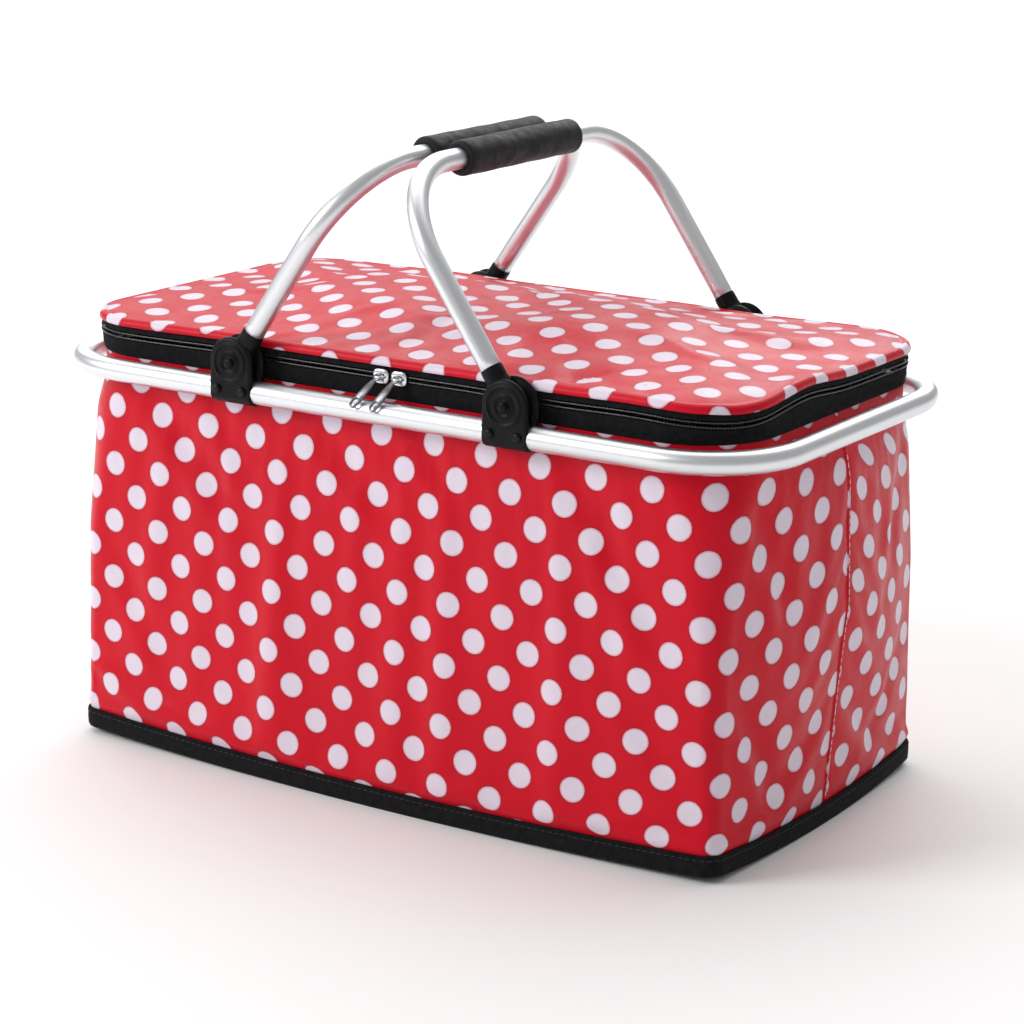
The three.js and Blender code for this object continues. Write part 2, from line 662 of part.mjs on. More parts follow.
/** A pull: an eye round the slider's bar and a tab with an oval hole, pointing along -y. */
function pullTab() {
  const { length, halfWidth, halfThick, eyeInner, eyeOuter, eyeHalf, neckEnd } = PULL;
  const { holeRadius, holeLength } = PULL;
  const tab = new THREE.Shape();
  tab.moveTo(-eyeHalf, -eyeOuter + 0.5);
  tab.lineTo(eyeHalf, -eyeOuter + 0.5);
  tab.lineTo(eyeHalf, -neckEnd + 1.5);
  tab.lineTo(halfWidth, -neckEnd);
  tab.absarc(0, -length + halfWidth, halfWidth, 0, -Math.PI, true);
  tab.lineTo(-halfWidth, -neckEnd);
  tab.lineTo(-eyeHalf, -neckEnd + 1.5);
  const hole = new THREE.Path();
  hole.absarc(0, -length + halfWidth, holeRadius, Math.PI, 2 * Math.PI, false);
  hole.absarc(0, -length + halfWidth + holeLength, holeRadius, 0, Math.PI, false);
  tab.holes.push(hole);
  const sweep = { depth: 2 * halfThick, bevelEnabled: false, curveSegments: BORE_SIDES };
  const plate = new THREE.ExtrudeGeometry(tab, sweep);
  plate.translate(0, 0, -halfThick);
  const body = joined(rod('x', eyeOuter, -eyeHalf, eyeHalf, 14), plate);
  return meshOf(cut(body, rod('x', eyeInner, -eyeHalf - 1, eyeHalf + 1, 10)));
}

function addSliders(parent) {
  for (const { side, x } of SLIDERS) {
    const slider = addPiece(parent, `slider_${side}`, sliderBody(), 'slider_metal');
    slider.position.set(x, 0, ZIP_MIDDLE_Z);
    const pull = addPiece(parent, `pull_${side}`, pullTab(), 'pull_metal');
    pull.position.set(x, BAR_Y, ZIP_MIDDLE_Z);
    pull.rotation.x = pullDrop();
  }
}

// ---------------------------------------------------------------- the whole bag

addBase(model);
addRim(model);
addBrackets(model);
addCollar(model);
addHandles(model);
addLid(model);
addSliders(model);

export default model;
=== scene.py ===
# Insulated cooler bag: the visual model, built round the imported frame. Metres, +Z up, -Y is the front.

import json
import math

import bpy
import numpy as np
from mathutils import Matrix, Vector


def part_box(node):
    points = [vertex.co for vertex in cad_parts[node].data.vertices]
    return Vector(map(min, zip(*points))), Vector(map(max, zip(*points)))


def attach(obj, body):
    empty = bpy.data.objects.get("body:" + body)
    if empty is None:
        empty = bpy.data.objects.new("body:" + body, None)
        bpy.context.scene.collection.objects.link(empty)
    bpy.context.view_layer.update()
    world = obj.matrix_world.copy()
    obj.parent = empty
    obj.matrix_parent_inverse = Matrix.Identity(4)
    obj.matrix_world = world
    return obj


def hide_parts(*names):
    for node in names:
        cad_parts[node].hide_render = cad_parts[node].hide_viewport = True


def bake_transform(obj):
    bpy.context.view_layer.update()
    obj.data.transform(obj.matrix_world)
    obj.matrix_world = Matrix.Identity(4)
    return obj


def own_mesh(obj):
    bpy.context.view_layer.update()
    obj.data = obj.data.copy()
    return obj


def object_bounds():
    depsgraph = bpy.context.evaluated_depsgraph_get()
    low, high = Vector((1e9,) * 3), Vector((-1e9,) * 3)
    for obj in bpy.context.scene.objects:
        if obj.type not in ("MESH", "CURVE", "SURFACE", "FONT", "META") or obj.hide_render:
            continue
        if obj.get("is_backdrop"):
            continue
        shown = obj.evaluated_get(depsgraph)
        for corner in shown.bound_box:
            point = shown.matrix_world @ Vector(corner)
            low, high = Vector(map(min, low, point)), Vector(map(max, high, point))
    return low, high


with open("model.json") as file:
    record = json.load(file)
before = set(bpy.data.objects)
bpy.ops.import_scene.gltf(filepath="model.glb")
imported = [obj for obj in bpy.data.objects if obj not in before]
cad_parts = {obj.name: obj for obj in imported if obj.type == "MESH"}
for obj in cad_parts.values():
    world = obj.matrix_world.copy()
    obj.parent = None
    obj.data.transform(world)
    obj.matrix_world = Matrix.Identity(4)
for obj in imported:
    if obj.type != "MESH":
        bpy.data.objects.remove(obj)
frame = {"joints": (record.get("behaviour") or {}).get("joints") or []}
cad_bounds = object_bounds()

MM = 0.001

# ---------------------------------------------------------------- sizes

TUBE_LOW, TUBE_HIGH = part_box("rim_tube_right")
RIM_RADIUS = (TUBE_HIGH.z - TUBE_LOW.z) / 2
RIM_Z = (TUBE_HIGH.z + TUBE_LOW.z) / 2
RIM_X = TUBE_HIGH.x - RIM_RADIUS
RIM_Y = TUBE_HIGH.y - RIM_RADIUS
RIM_BEND = 54 * MM

BRACKET_X = 91.5 * MM
PIVOT_Z = 245 * MM
CHEEK_RADIUS = 14.5 * MM
CHEEK_THICK = 8 * MM
SLOT_HALF = 4.7 * MM

HANDLE_REACH = 140 * MM
HANDLE_TOP_X = 11.4 * MM
HANDLE_RADIUS = 6 * MM
HANDLE_BEND = 54 * MM
LEAN = math.asin((BRACKET_X - HANDLE_TOP_X) / HANDLE_REACH)
SLEEVE_END = 22 * MM

# the wall's outline at each height: half sizes, corner radius, and how far its middles stand out
WALL_KEYS = ("z", "x", "y", "r", "side", "front")
WALL = np.array([
    (0, 216.5, 117, 8, 2, 2),
    (13, 216.5, 117, 8, 2, 2),
    (130, 217, 117, 14, 14, 4),
    (200, 219.5, 116, 32, 9, 2),
    (222, 220.2, 115.6, 46, 4, 0),
    (234, 220, 115.4, 46, 0, 0),
    (240, 220, 115.4, 42, 0, 0),
    (246, 220, 115.4, 41, 0, 0),
    (256, 219.9, 115.3, 41, 0, 0),
]) * MM
SHELL_TOP = 221.7 * MM
HINGE_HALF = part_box("back_hinge_strip")[1].x
ZIP_LOW_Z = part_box("body_zip_teeth")[0].z
SIDE_CELLS = 22
FRONT_CELLS = 42
CORNER_CELLS = 10

RNG = np.random.default_rng(7)


# ---------------------------------------------------------------- mesh helpers

def smoothstep(low, high, value):
    t = np.clip((np.asarray(value, float) - low) / (high - low), 0, 1)
    return t * t * (3 - 2 * t)


def ripple(points, scale, seed, octaves=3):
    """Smooth noise from about -1 to 1: a sum of sine waves in random directions."""
    rng = np.random.default_rng(seed)
    total = np.zeros(len(points))
    for octave in range(octaves):
        for _ in range(5):
            direction = rng.normal(size=3)
            direction /= np.linalg.norm(direction)
            phase = rng.uniform(0, 2 * math.pi)
            total += np.sin(points @ direction * 2 ** octave * 2 * math.pi / scale + phase) / 2 ** octave
    return total / 5


def mesh_object(name, points, faces, uvs=None, smooth=True):
    """An object from points and faces; uvs holds one pair for each face corner, in metres."""
    mesh = bpy.data.meshes.new(name)
    mesh.from_pydata([tuple(p) for p in points], [], [tuple(int(i) for i in f) for f in faces])
    if uvs is not None:
        layer = mesh.uv_layers.new(name="Cloth")
        layer.data.foreach_set("uv", np.asarray(uvs, np.float32).ravel())
    if smooth:
        mesh.polygons.foreach_set("use_smooth", [True] * len(mesh.polygons))
    mesh.update()
    piece = bpy.data.objects.new(name, mesh)
    bpy.context.scene.collection.objects.link(piece)
    return piece


def grid(rows, uv, close_rows=False, close_columns=False, caps=False):
    """Faces and uvs of a grid of points shaped (rows, columns, 3); uv is shaped (rows, columns, 2)."""
    count, width = rows.shape[:2]
    faces = []
    corners = []
    for i in range(count if close_rows else count - 1):
        for j in range(width if close_columns else width - 1):
            i2, j2 = (i + 1) % count, (j + 1) % width
            faces.append((i * width + j, i * width + j2, i2 * width + j2, i2 * width + j))
            step_u = uv[i, j] - uv[i, j - 1] if j2 == 0 else uv[i, j2] - uv[i, j]
            step_v = uv[i, j] - uv[i - 1, j] if i2 == 0 else uv[i2, j] - uv[i, j]
            corners += [uv[i, j], uv[i, j] + step_u, uv[i, j] + step_u + step_v, uv[i, j] + step_v]
    if caps:
        last = (count - 1) * width
        faces.append(tuple(range(width - 1, -1, -1)))
        corners += [uv[0, j] for j in range(width - 1, -1, -1)]
        faces.append(tuple(last + j for j in range(width)))
        corners += [uv[count - 1, j] for j in range(width)]
    return rows.reshape(-1, 3), faces, np.array(corners)


def merged(parts):
    """Several (points, faces, uvs) as one."""
    points, faces, corners = [], [], []
    start = 0
    for part_points, part_faces, part_uvs in parts:
        points.append(part_points)
        faces += [tuple(i + start for i in face) for face in part_faces]
        corners.append(part_uvs)
        start += len(part_points)
    return np.concatenate(points), faces, np.concatenate(corners)


def outward(piece):
    """Turns a closed mesh's faces to point out."""
    import bmesh
    mesh = bmesh.new()
    mesh.from_mesh(piece.data)
    bmesh.ops.recalc_face_normals(mesh, faces=mesh.faces)
    mesh.to_mesh(piece.data)
    mesh.free()
    return piece


def freeze(piece):
    """Applies every modifier."""
    evaluated = piece.evaluated_get(bpy.context.evaluated_depsgraph_get())
    mesh = bpy.data.meshes.new_from_object(evaluated)
    piece.modifiers.clear()
    piece.data = mesh
    return piece


def thicken(piece, thickness, levels=0):
    """Smooths an open sheet and gives it a thickness inward."""
    if levels:
        piece.modifiers.new("Smooth", "SUBSURF").levels = levels
    solid = piece.modifiers.new("Thickness", "SOLIDIFY")
    solid.thickness = thickness
    solid.offset = -1
    return freeze(piece)


def finish_piece(piece, body, slot, material, *replaced):
    piece.data.materials.clear()
    piece.data.materials.append(material)
    if body:
        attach(piece, body)
    if replaced:
        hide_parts(*replaced)
    return piece


# ---------------------------------------------------------------- outlines

def wall_size(z):
    """The outline's sizes at a height, eased between the levels."""
    return {key: float(np.interp(z, WALL[:, 0], WALL[:, i])) for i, key in enumerate(WALL_KEYS)}


def outline(size, out=0.0):
    """The outline's points, counter-clockwise from the middle of the right side."""
    x, y = size["x"] + out, size["y"] + out
    r = max(size["r"] + out, 0.5 * MM)
    up = np.linspace(0, y - r, SIDE_CELLS + 1)[:-1]
    turn = np.linspace(0, math.pi / 2, CORNER_CELLS + 1)[:-1]
    along = np.linspace(x - r, 0, FRONT_CELLS + 1)
    quarter = np.concatenate([
        np.stack([np.full_like(up, x), up], 1),
        np.stack([x - r + r * np.cos(turn), y - r + r * np.sin(turn)], 1),
        np.stack([along, np.full_like(along, y)], 1),
    ])
    half = np.concatenate([quarter, quarter[-2::-1] * (-1, 1)])
    ring = np.concatenate([half, half[-2:0:-1] * (1, -1)])
    side_bow = size["side"] * np.clip(1 - (ring[:, 1] / (y - r)) ** 2, 0, 1)
    front_bow = size["front"] * np.clip(1 - (ring[:, 0] / (x - r)) ** 2, 0, 1)
    return ring + np.stack([ring[:, 0] / x * side_bow, ring[:, 1] / y * front_bow], 1)


def shape_base(points):
    """Bows the base's edges outward in their middles and lifts its corners a little."""
    u = np.clip(np.abs(points[:, 0]) / WALL[0, 1], 0, 1)
    v = np.clip(np.abs(points[:, 1]) / WALL[0, 2], 0, 1)
    fade = np.exp(-(points[:, 2] / (70 * MM)) ** 2)
    moved = points.copy()
    moved[:, 0] += np.sign(points[:, 0]) * u * 2.5 * MM * (1 - v ** 2) * fade
    moved[:, 1] += np.sign(points[:, 1]) * v * 4.5 * MM * (1 - u ** 2) * fade
    moved[:, 2] += 4 * MM * (u * v) ** 2 * fade
    return moved


def ring_at(z, out=0.0):
    flat = outline(wall_size(z), out)
    return np.column_stack([flat, np.full(len(flat), z)])


def lengths(points, closed=True):
    """Distance along a line of points from its first one."""
    steps = np.linalg.norm(np.diff(points, axis=0), axis=1)
    return np.concatenate([[0], np.cumsum(steps)])


def lid_wave(points):
    """The lid's edge rides up and down a little, most of all by the front right corner."""
    x, y = points[:, 0], points[:, 1]
    right = smoothstep(195 * MM, 218 * MM, x)
    rise = right * 3.2 * MM * np.exp(-((y + 35 * MM) / (30 * MM)) ** 2)
    dip = 1.6 * MM * smoothstep(150 * MM, 200 * MM, x) * np.exp(-((y + 100 * MM) / (22 * MM)) ** 2)
    gentle = 0.5 * MM * np.sin(x / (70 * MM) * math.pi) * smoothstep(30 * MM, 90 * MM, np.abs(x))
    return rise - dip + gentle


def swept_band(profile, wave=False, open_back=False, base=False):
    """A closed profile of (out, z) pairs carried round the bag's outline."""
    rows = np.stack([ring_at(z, out) for out, z in profile])
    if open_back:
        flat = rows[0]
        quarter = len(flat) // 4
        rows = np.roll(rows, -quarter, axis=1)
        keep = ~((rows[0, :, 1] > 0) & (np.abs(rows[0, :, 0]) < HINGE_HALF))
        rows = rows[:, keep]
    shaped = rows.reshape(-1, 3)
    if base:
        shaped = shape_base(shaped)
    if wave:
        lift = smoothstep(RIM_Z + RIM_RADIUS, ZIP_LOW_Z, shaped[:, 2])
        shaped = shaped + np.column_stack([np.zeros((len(shaped), 2)), lift * lid_wave(shaped)])
    rows = shaped.reshape(rows.shape)
    u = lengths(rows[0])
    v = lengths(np.array([(out, z) for out, z in profile]))
    uv = np.stack(np.meshgrid(u, v), -1)
    return grid(rows, uv, close_rows=True, close_columns=not open_back)


# ---------------------------------------------------------------- material helpers

class Graph:
    """A Principled material being built from nodes."""

    def __init__(self, name, **constants):
        self.material = bpy.data.materials.new(name)
        self.material.use_nodes = True
        self.tree = self.material.node_tree
        self.shader = self.tree.nodes["Principled BSDF"]
        for label, value in constants.items():
            self.shader.inputs[label.replace("_", " ")].default_value = value

    def node(self, kind, inputs=(), **settings):
        node = self.tree.nodes.new(kind)
        for key, value in settings.items():
            setattr(node, key, value)
        for key, value in dict(inputs).items():
            self.feed(node.inputs[key], value)
        return node

    def feed(self, socket, value):
        if isinstance(value, bpy.types.NodeSocket):
            self.tree.links.new(value, socket)
        else:
            socket.default_value = value

    def set(self, label, value):
        self.feed(self.shader.inputs[label], value)

    def math(self, operation, a, b=0.0):
        return self.node("ShaderNodeMath", {0: a, 1: b}, operation=operation).outputs[0]

    def vector(self, operation, a, b=(0, 0, 0)):
        node = self.node("ShaderNodeVectorMath", {0: a, 1: b}, operation=operation)
        return node.outputs["Value" if operation == "LENGTH" else "Vector"]

    def span(self, value, low, high, to_low=0.0, to_high=1.0):
        ends = {"Value": value, "From Min": low, "From Max": high, "To Min": to_low, "To Max": to_high}
        return self.node("ShaderNodeMapRange", ends).outputs["Result"]

    def mix(self, factor, a, b):
        node = self.node("ShaderNodeMix", {"Factor": factor}, data_type="RGBA")
        self.feed(node.inputs[6], a)
        self.feed(node.inputs[7], b)
        return node.outputs[2]

    def noise(self, vector, scale, detail=3.0):
        return self.node("ShaderNodeTexNoise", {"Vector": vector, "Scale": scale, "Detail": detail}).outputs["Fac"]

    def uv(self):
        return self.node("ShaderNodeUVMap", uv_map="Cloth").outputs["UV"]

    def place(self):
        return self.node("ShaderNodeTexCoord").outputs["Object"]

    def weave(self, vector, pitch):
        """Over and under threads, from 0 to 1."""
        split = self.node("ShaderNodeSeparateXYZ", {0: vector})
        turn = 2 * math.pi / pitch
        across = self.math("SINE", self.math("MULTIPLY", split.outputs[0], turn))
        up = self.math("SINE", self.math("MULTIPLY", split.outputs[1], turn))
        return self.span(self.math("MULTIPLY", across, up), -1, 1)

    def bump(self, height, distance, below=None):
        inputs = {"Height": height, "Distance": distance, "Strength": 1.0}
        if below is not None:
            inputs["Normal"] = below
        return self.node("ShaderNodeBump", inputs).outputs["Normal"]


def colour(red, green, blue):
    return (red, green, blue, 1.0)


# ---------------------------------------------------------------- materials

RED = colour(0.62, 0.004, 0.018)
RED_DEEP = colour(0.38, 0.003, 0.012)
DOT = colour(0.74, 0.66, 0.76)
DOT_EDGE = colour(0.80, 0.38, 0.44)
DOT_LINE = colour(0.26, 0.012, 0.03)
DOT_RADIUS = 7.25 * MM
BLACK = colour(0.004, 0.004, 0.005)
SOOT = colour(0.011, 0.011, 0.013)


def dotted_cloth(name, pitch, turn_degrees, shift):
    """Glossy coated cloth printed with pale spots on a staggered lattice."""
    g = Graph(name, Coat_Weight=0.04, Coat_Roughness=0.2, Coat_IOR=1.4,
              Specular_IOR_Level=0.2, Specular_Tint=colour(1.0, 0.6, 0.62))
    uv = g.uv()
    cell = pitch / math.sqrt(2)
    angle = math.radians(45 + turn_degrees)
    origin = Matrix.Rotation(angle, 3, "Z") @ (Vector((*shift, 0)) / cell)
    lattice = g.node("ShaderNodeMapping", {
        "Vector": uv,
        "Location": tuple(-origin),
        "Rotation": (0, 0, angle),
        "Scale": (1 / cell, 1 / cell, 1 / cell),
    }).outputs["Vector"]
    wrapped = g.vector("FRACTION", g.vector("ADD", lattice, (0.5, 0.5, 0.5)))
    away = g.vector("LENGTH", g.vector("SUBTRACT", wrapped, (0.5, 0.5, 0.5)))
    uneven = g.span(g.noise(uv, 900, 2), 0, 1, -0.008, 0.008)
    away = g.math("ADD", away, uneven)
    radius = DOT_RADIUS / cell
    shade = g.span(g.noise(uv, 9, 4), 0.3, 0.7)
    cloth = g.mix(shade, RED_DEEP, RED)
    cloth = g.mix(0.75, cloth, RED)
    lined = g.mix(g.span(away, radius + 0.012, radius + 0.034), DOT_LINE, cloth)
    edged = g.mix(g.span(away, radius - 0.012, radius + 0.006), DOT_EDGE, lined)
    g.set("Base Color", g.mix(g.span(away, radius - 0.05, radius - 0.022), DOT, edged))
    g.set("Roughness", g.span(g.noise(uv, 60, 4), 0.3, 0.7, 0.27, 0.42))
    threads = g.bump(g.weave(uv, 0.9 * MM), 0.05 * MM)
    g.set("Normal", g.bump(g.noise(uv, 130, 4), 0.35 * MM, threads))
    return g.material


def black_cloth(name, pitch, nap, sheen):
    """Black woven or bonded cloth with a nap."""
    g = Graph(name, Sheen_Weight=sheen, Sheen_Roughness=0.5, Specular_IOR_Level=0.12)
    uv = g.uv()
    worn = g.span(g.noise(uv, 220, 5), 0.35, 0.75)
    g.set("Base Color", g.mix(worn, BLACK, SOOT))
    g.set("Roughness", g.span(g.noise(uv, 400, 3), 0.3, 0.7, 0.72, 0.95))
    threads = g.bump(g.weave(uv, pitch), 0.18 * MM)
    g.set("Normal", g.bump(g.noise(uv, 1400, 4), nap, threads))
    return g.material


def brushed_tube(name):
    """Satin anodised aluminium, drawn along its length."""
    g = Graph(name, Metallic=1.0, Anisotropic=0.35, Coat_Weight=0.1, Coat_Roughness=0.3)
    streak = g.node("ShaderNodeMapping", {"Vector": g.uv(), "Scale": (14, 900, 1)}).outputs["Vector"]
    lines = g.noise(streak, 1.0, 5)
    g.set("Base Color", g.mix(lines, colour(0.70, 0.71, 0.73), colour(0.84, 0.85, 0.87)))
    g.set("Roughness", g.span(lines, 0.3, 0.7, 0.33, 0.44))
    g.set("Normal", g.bump(lines, 0.03 * MM))
    return g.material


def moulded_plastic(name, shine=0.38, gloss=0.12):
    """Black moulded nylon with a fine spark-eroded grain."""
    g = Graph(name, Specular_IOR_Level=gloss)
    place = g.place()
    rubbed = g.span(g.noise(place, 90, 4), 0.4, 0.75)
    g.set("Base Color", g.mix(rubbed, colour(0.004, 0.004, 0.005), colour(0.010, 0.010, 0.012)))
    g.set("Roughness", g.span(g.noise(place, 260, 3), 0.3, 0.7, shine - 0.06, shine + 0.08))
    g.set("Normal", g.bump(g.noise(place, 2600, 2), 0.06 * MM))
    return g.material


def soft_grip(name):
    """Closed-cell foam rubber: matte, slightly dented, with a fine skin."""
    g = Graph(name, Sheen_Weight=0.02, Sheen_Roughness=0.4, Specular_IOR_Level=0.22)
    place = g.place()
    g.set("Base Color", g.mix(g.noise(place, 70, 4), colour(0.008, 0.008, 0.010), colour(0.018, 0.018, 0.022)))
    g.set("Roughness", g.span(g.noise(place, 160, 3), 0.3, 0.7, 0.48, 0.68))
    skin = g.bump(g.noise(place, 2200, 3), 0.12 * MM)
    g.set("Normal", g.bump(g.noise(place, 110, 3), 0.7 * MM, skin))
    return g.material


def plated_metal(name, dark, light, roughness):
    """Plated or darkened metal with fine scratches."""
    g = Graph(name, Metallic=1.0)
    place = g.place()
    g.set("Base Color", g.mix(g.noise(place, 300, 4), dark, light))
    g.set("Roughness", g.span(g.noise(place, 900, 3), 0.3, 0.7, roughness, roughness + 0.14))
    g.set("Normal", g.bump(g.noise(place, 1800, 3), 0.03 * MM))
    return g.material


def foil_film(name):
    """Metallised film, crinkled into small facets."""
    g = Graph(name, Metallic=0.85, Coat_Weight=0.2, Coat_Roughness=0.15)
    place = g.place()
    facets = g.node("ShaderNodeTexVoronoi", {"Vector": place, "Scale": 75.0}).outputs["Distance"]
    g.set("Base Color", g.mix(g.noise(place, 40, 3), colour(0.55, 0.57, 0.60), colour(0.74, 0.76, 0.79)))
    g.set("Roughness", g.span(g.noise(place, 150, 3), 0.3, 0.7, 0.22, 0.4))
    g.set("Normal", g.bump(facets, 1.6 * MM))
    return g.material


def cell_foam(name, tone):
    """Foam sheet or board with an open, slightly pitted face."""
    g = Graph(name, Specular_IOR_Level=0.25)
    place = g.place()
    cells = g.node("ShaderNodeTexVoronoi", {"Vector": place, "Scale": 700.0}).outputs["Distance"]
    darker = colour(tone * 0.82, tone * 0.82, tone * 0.79)
    g.set("Base Color", g.mix(g.noise(place, 120, 3), darker, colour(tone, tone, tone * 0.98)))
    g.set("Roughness", g.span(g.noise(place, 90, 2), 0.3, 0.7, 0.8, 0.95))
    g.set("Normal", g.bump(cells, 0.3 * MM))
    return g.material


def sewing_thread(name, light, tone=None):
    """Twisted thread."""
    g = Graph(name, Sheen_Weight=0.05)
    place = g.place()
    tone = tone or colour(light, light, light * 0.98)
    shade = colour(*(0.78 * channel for channel in tone[:3]))
    g.set("Base Color", g.mix(g.noise(place, 900, 2), tone, shade))
    g.set("Roughness", g.span(g.noise(place, 500, 2), 0.3, 0.7, 0.55, 0.8))
    g.set("Normal", g.bump(g.noise(place, 3000, 2), 0.05 * MM))
    return g.material


WALL_CLOTH = dotted_cloth("dotted_wall_cloth", 34.4 * MM, 2.0, (-5.17 * MM, 9.33 * MM))
LID_CLOTH = dotted_cloth("dotted_lid_cloth", 34.8 * MM, -3.0, (12.99 * MM, 1.64 * MM))
HEM_CLOTH = dotted_cloth("dotted_hem_cloth", 34.4 * MM, 0.0, (4 * MM, 1.5 * MM))
BINDING = black_cloth("bonded_binding", 1.6 * MM, 0.35 * MM, 0.03)
TAPE = black_cloth("woven_zip_tape", 0.8 * MM, 0.08 * MM, 0.02)
ALUMINIUM = brushed_tube("drawn_aluminium")
PLASTIC = moulded_plastic("moulded_black_nylon")
TEETH = moulded_plastic("zip_coil_nylon", 0.24, 0.75)
GRIP = soft_grip("foam_grip_rubber")
NICKEL = plated_metal("nickel_plate", colour(0.60, 0.61, 0.63), colour(0.80, 0.81, 0.83), 0.16)
GUNMETAL = plated_metal("gunmetal", colour(0.12, 0.12, 0.13), colour(0.26, 0.26, 0.28), 0.26)
SCREW = plated_metal("blackened_screw", colour(0.012, 0.012, 0.014), colour(0.035, 0.035, 0.04), 0.34)
FOIL = foil_film("foil_film")
FOAM = cell_foam("polyethylene_foam", 0.8)
BOARD = cell_foam("stiff_board", 0.62)
WHITE_THREAD = sewing_thread("white_thread", 0.82)
DARK_THREAD = sewing_thread("black_thread", 0.012)
RED_THREAD = sewing_thread("red_thread", 0.5, colour(0.42, 0.03, 0.05))


# ---------------------------------------------------------------- walls

def wall_grid(out=0.0, from_z=2 * MM, row_step=5 * MM):
    """The outer wall as rows of points from the base to under the rim, and its cloth coordinates."""
    heights = np.linspace(from_z, SHELL_TOP, int((SHELL_TOP - from_z) / row_step) + 1)
    rows = np.stack([ring_at(z, out) for z in heights])
    rows = shape_base(rows.reshape(-1, 3)).reshape(rows.shape)
    front_middle = rows.shape[1] * 3 // 4
    uv = np.zeros((*rows.shape[:2], 2))
    for i, row in enumerate(rows):
        along = lengths(row)
        uv[i, :, 0] = along - along[front_middle]
        uv[i, :, 1] = heights[i]
    return rows, uv


def draped_wall():
    """The wall's cloth, a little longer than the wall it hangs on, settled over the foam behind it."""
    rows, uv = wall_grid()
    count, width = rows.shape[:2]
    sheet = mesh_object("wall_sim", *grid(rows, uv, close_columns=True))
    backing_rows, backing_uv = wall_grid(-1.6 * MM)
    backing = mesh_object("wall_backing", *grid(backing_rows, backing_uv, close_columns=True))
    backing.modifiers.new("Collision", "COLLISION")
    backing.collision.thickness_outer = 0.6 * MM
    weights = np.zeros((count, width))
    weights[rows[:, 0, 2] < BINDING_TOP + 4 * MM] = 1
    weights[-2:] = 1
    weights[:, [0, width // 2]] = 1
    pins = sheet.vertex_groups.new(name="pins")
    for index in np.flatnonzero(weights.ravel() > 0):
        pins.add([int(index)], 1.0, "REPLACE")
    cloth = sheet.modifiers.new("Cloth", "CLOTH")
    cloth.settings.vertex_group_mass = "pins"
    cloth.settings.quality = 6
    cloth.settings.mass = 0.25
    cloth.settings.tension_stiffness = 25
    cloth.settings.compression_stiffness = 25
    cloth.settings.shear_stiffness = 12
    cloth.settings.bending_stiffness = 6.0
    cloth.settings.shrink_min = -0.008
    cloth.collision_settings.distance_min = 0.8 * MM
    cloth.point_cache.frame_end = SIM_FRAMES
    for number in range(1, SIM_FRAMES + 1):
        bpy.context.scene.frame_set(number)
    freeze(sheet)
    settled = np.array([v.co for v in sheet.data.vertices]).reshape(rows.shape)
    moved = np.clip(settled - rows, -9 * MM, 9 * MM)
    bpy.data.objects.remove(sheet)
    bpy.data.objects.remove(backing)
    bpy.context.scene.frame_set(1)
    return rows + moved, uv


SIM_FRAMES = 22
BINDING_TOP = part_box("base_trim")[1].z
BACK_PATTERN_SHIFT = np.array([9.5 * MM, 6 * MM])


# soft folds that hang from the rim: axis across the face, where each starts (across, height),
# where it ends, how deep it is and how wide, in millimetres
FOLDS = (
    (0, (-168, 224), (-96, 150), 2.2, 9), (0, (-120, 228), (-92, 178), 1.8, 7),
    (0, (-58, 228), (10, 168), 2.0, 9), (0, (20, 226), (52, 184), 1.8, 7),
    (0, (118, 226), (186, 120), 2.4, 10), (0, (150, 110), (204, 40), 1.8, 9),
    (0, (-190, 120), (-150, 50), 1.6, 9),
    (1, (-92, 212), (-50, 120), 2.2, 8), (1, (-96, 96), (-60, 28), 2.4, 8),
    (1, (84, 210), (52, 110), 2.0, 8), (1, (92, 90), (46, 32), 2.2, 7),
)


def hang_folds(rows):
    """Press the soft folds into the long faces (axis 0) and the short ones (axis 1)."""
    flat = rows.reshape(-1, 3).copy()
    for across, top, bottom, depth, width in FOLDS:
        facing = 1 - across
        start, line = np.array(top) * MM, (np.array(bottom) - top) * MM
        away = flat[:, [across, 2]] - start
        share = np.clip(away @ line / (line @ line), 0, 1)
        side = (away[:, 0] * line[1] - away[:, 1] * line[0]) / math.hypot(*line) / (width * MM)
        beyond = np.linalg.norm(away - share[:, None] * line, axis=1) / (width * MM)
        dip = np.exp(-beyond ** 2) - 0.45 * np.exp(-(side - 1.5) ** 2) * np.exp(-((beyond - 1.5) ** 2))
        dip *= np.sin(math.pi * (0.08 + 0.84 * share)) ** 0.7
        reach = wall_size(150 * MM)["y" if across == 0 else "x"]
        on_face = smoothstep(0.86 * reach, 0.97 * reach, np.abs(flat[:, facing]))
        flat[:, facing] -= np.sign(flat[:, facing]) * dip * on_face * depth * MM
    return flat.reshape(rows.shape)


def build_walls():
    rows, uv = draped_wall()
    rows = hang_folds(rows)
    width = rows.shape[1]
    half = width // 2
    columns = {"back": np.arange(0, half + 1), "front": np.append(np.arange(half, width), 0)}
    for name, chosen in columns.items():
        part_uv = uv[:, chosen].copy()
        if name == "front":
            part_uv[:, -1, 0] = 2 * part_uv[:, -2, 0] - part_uv[:, -3, 0]
        else:
            part_uv += BACK_PATTERN_SHIFT
        shell = mesh_object(f"outer_cloth_{name}", *grid(rows[:, chosen], part_uv))
        thicken(shell, 0.9 * MM, 1)
        finish_piece(shell, "base", "dotted_cloth", WALL_CLOTH, f"shell_{name}", f"foam_{name}")
        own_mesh(shell)


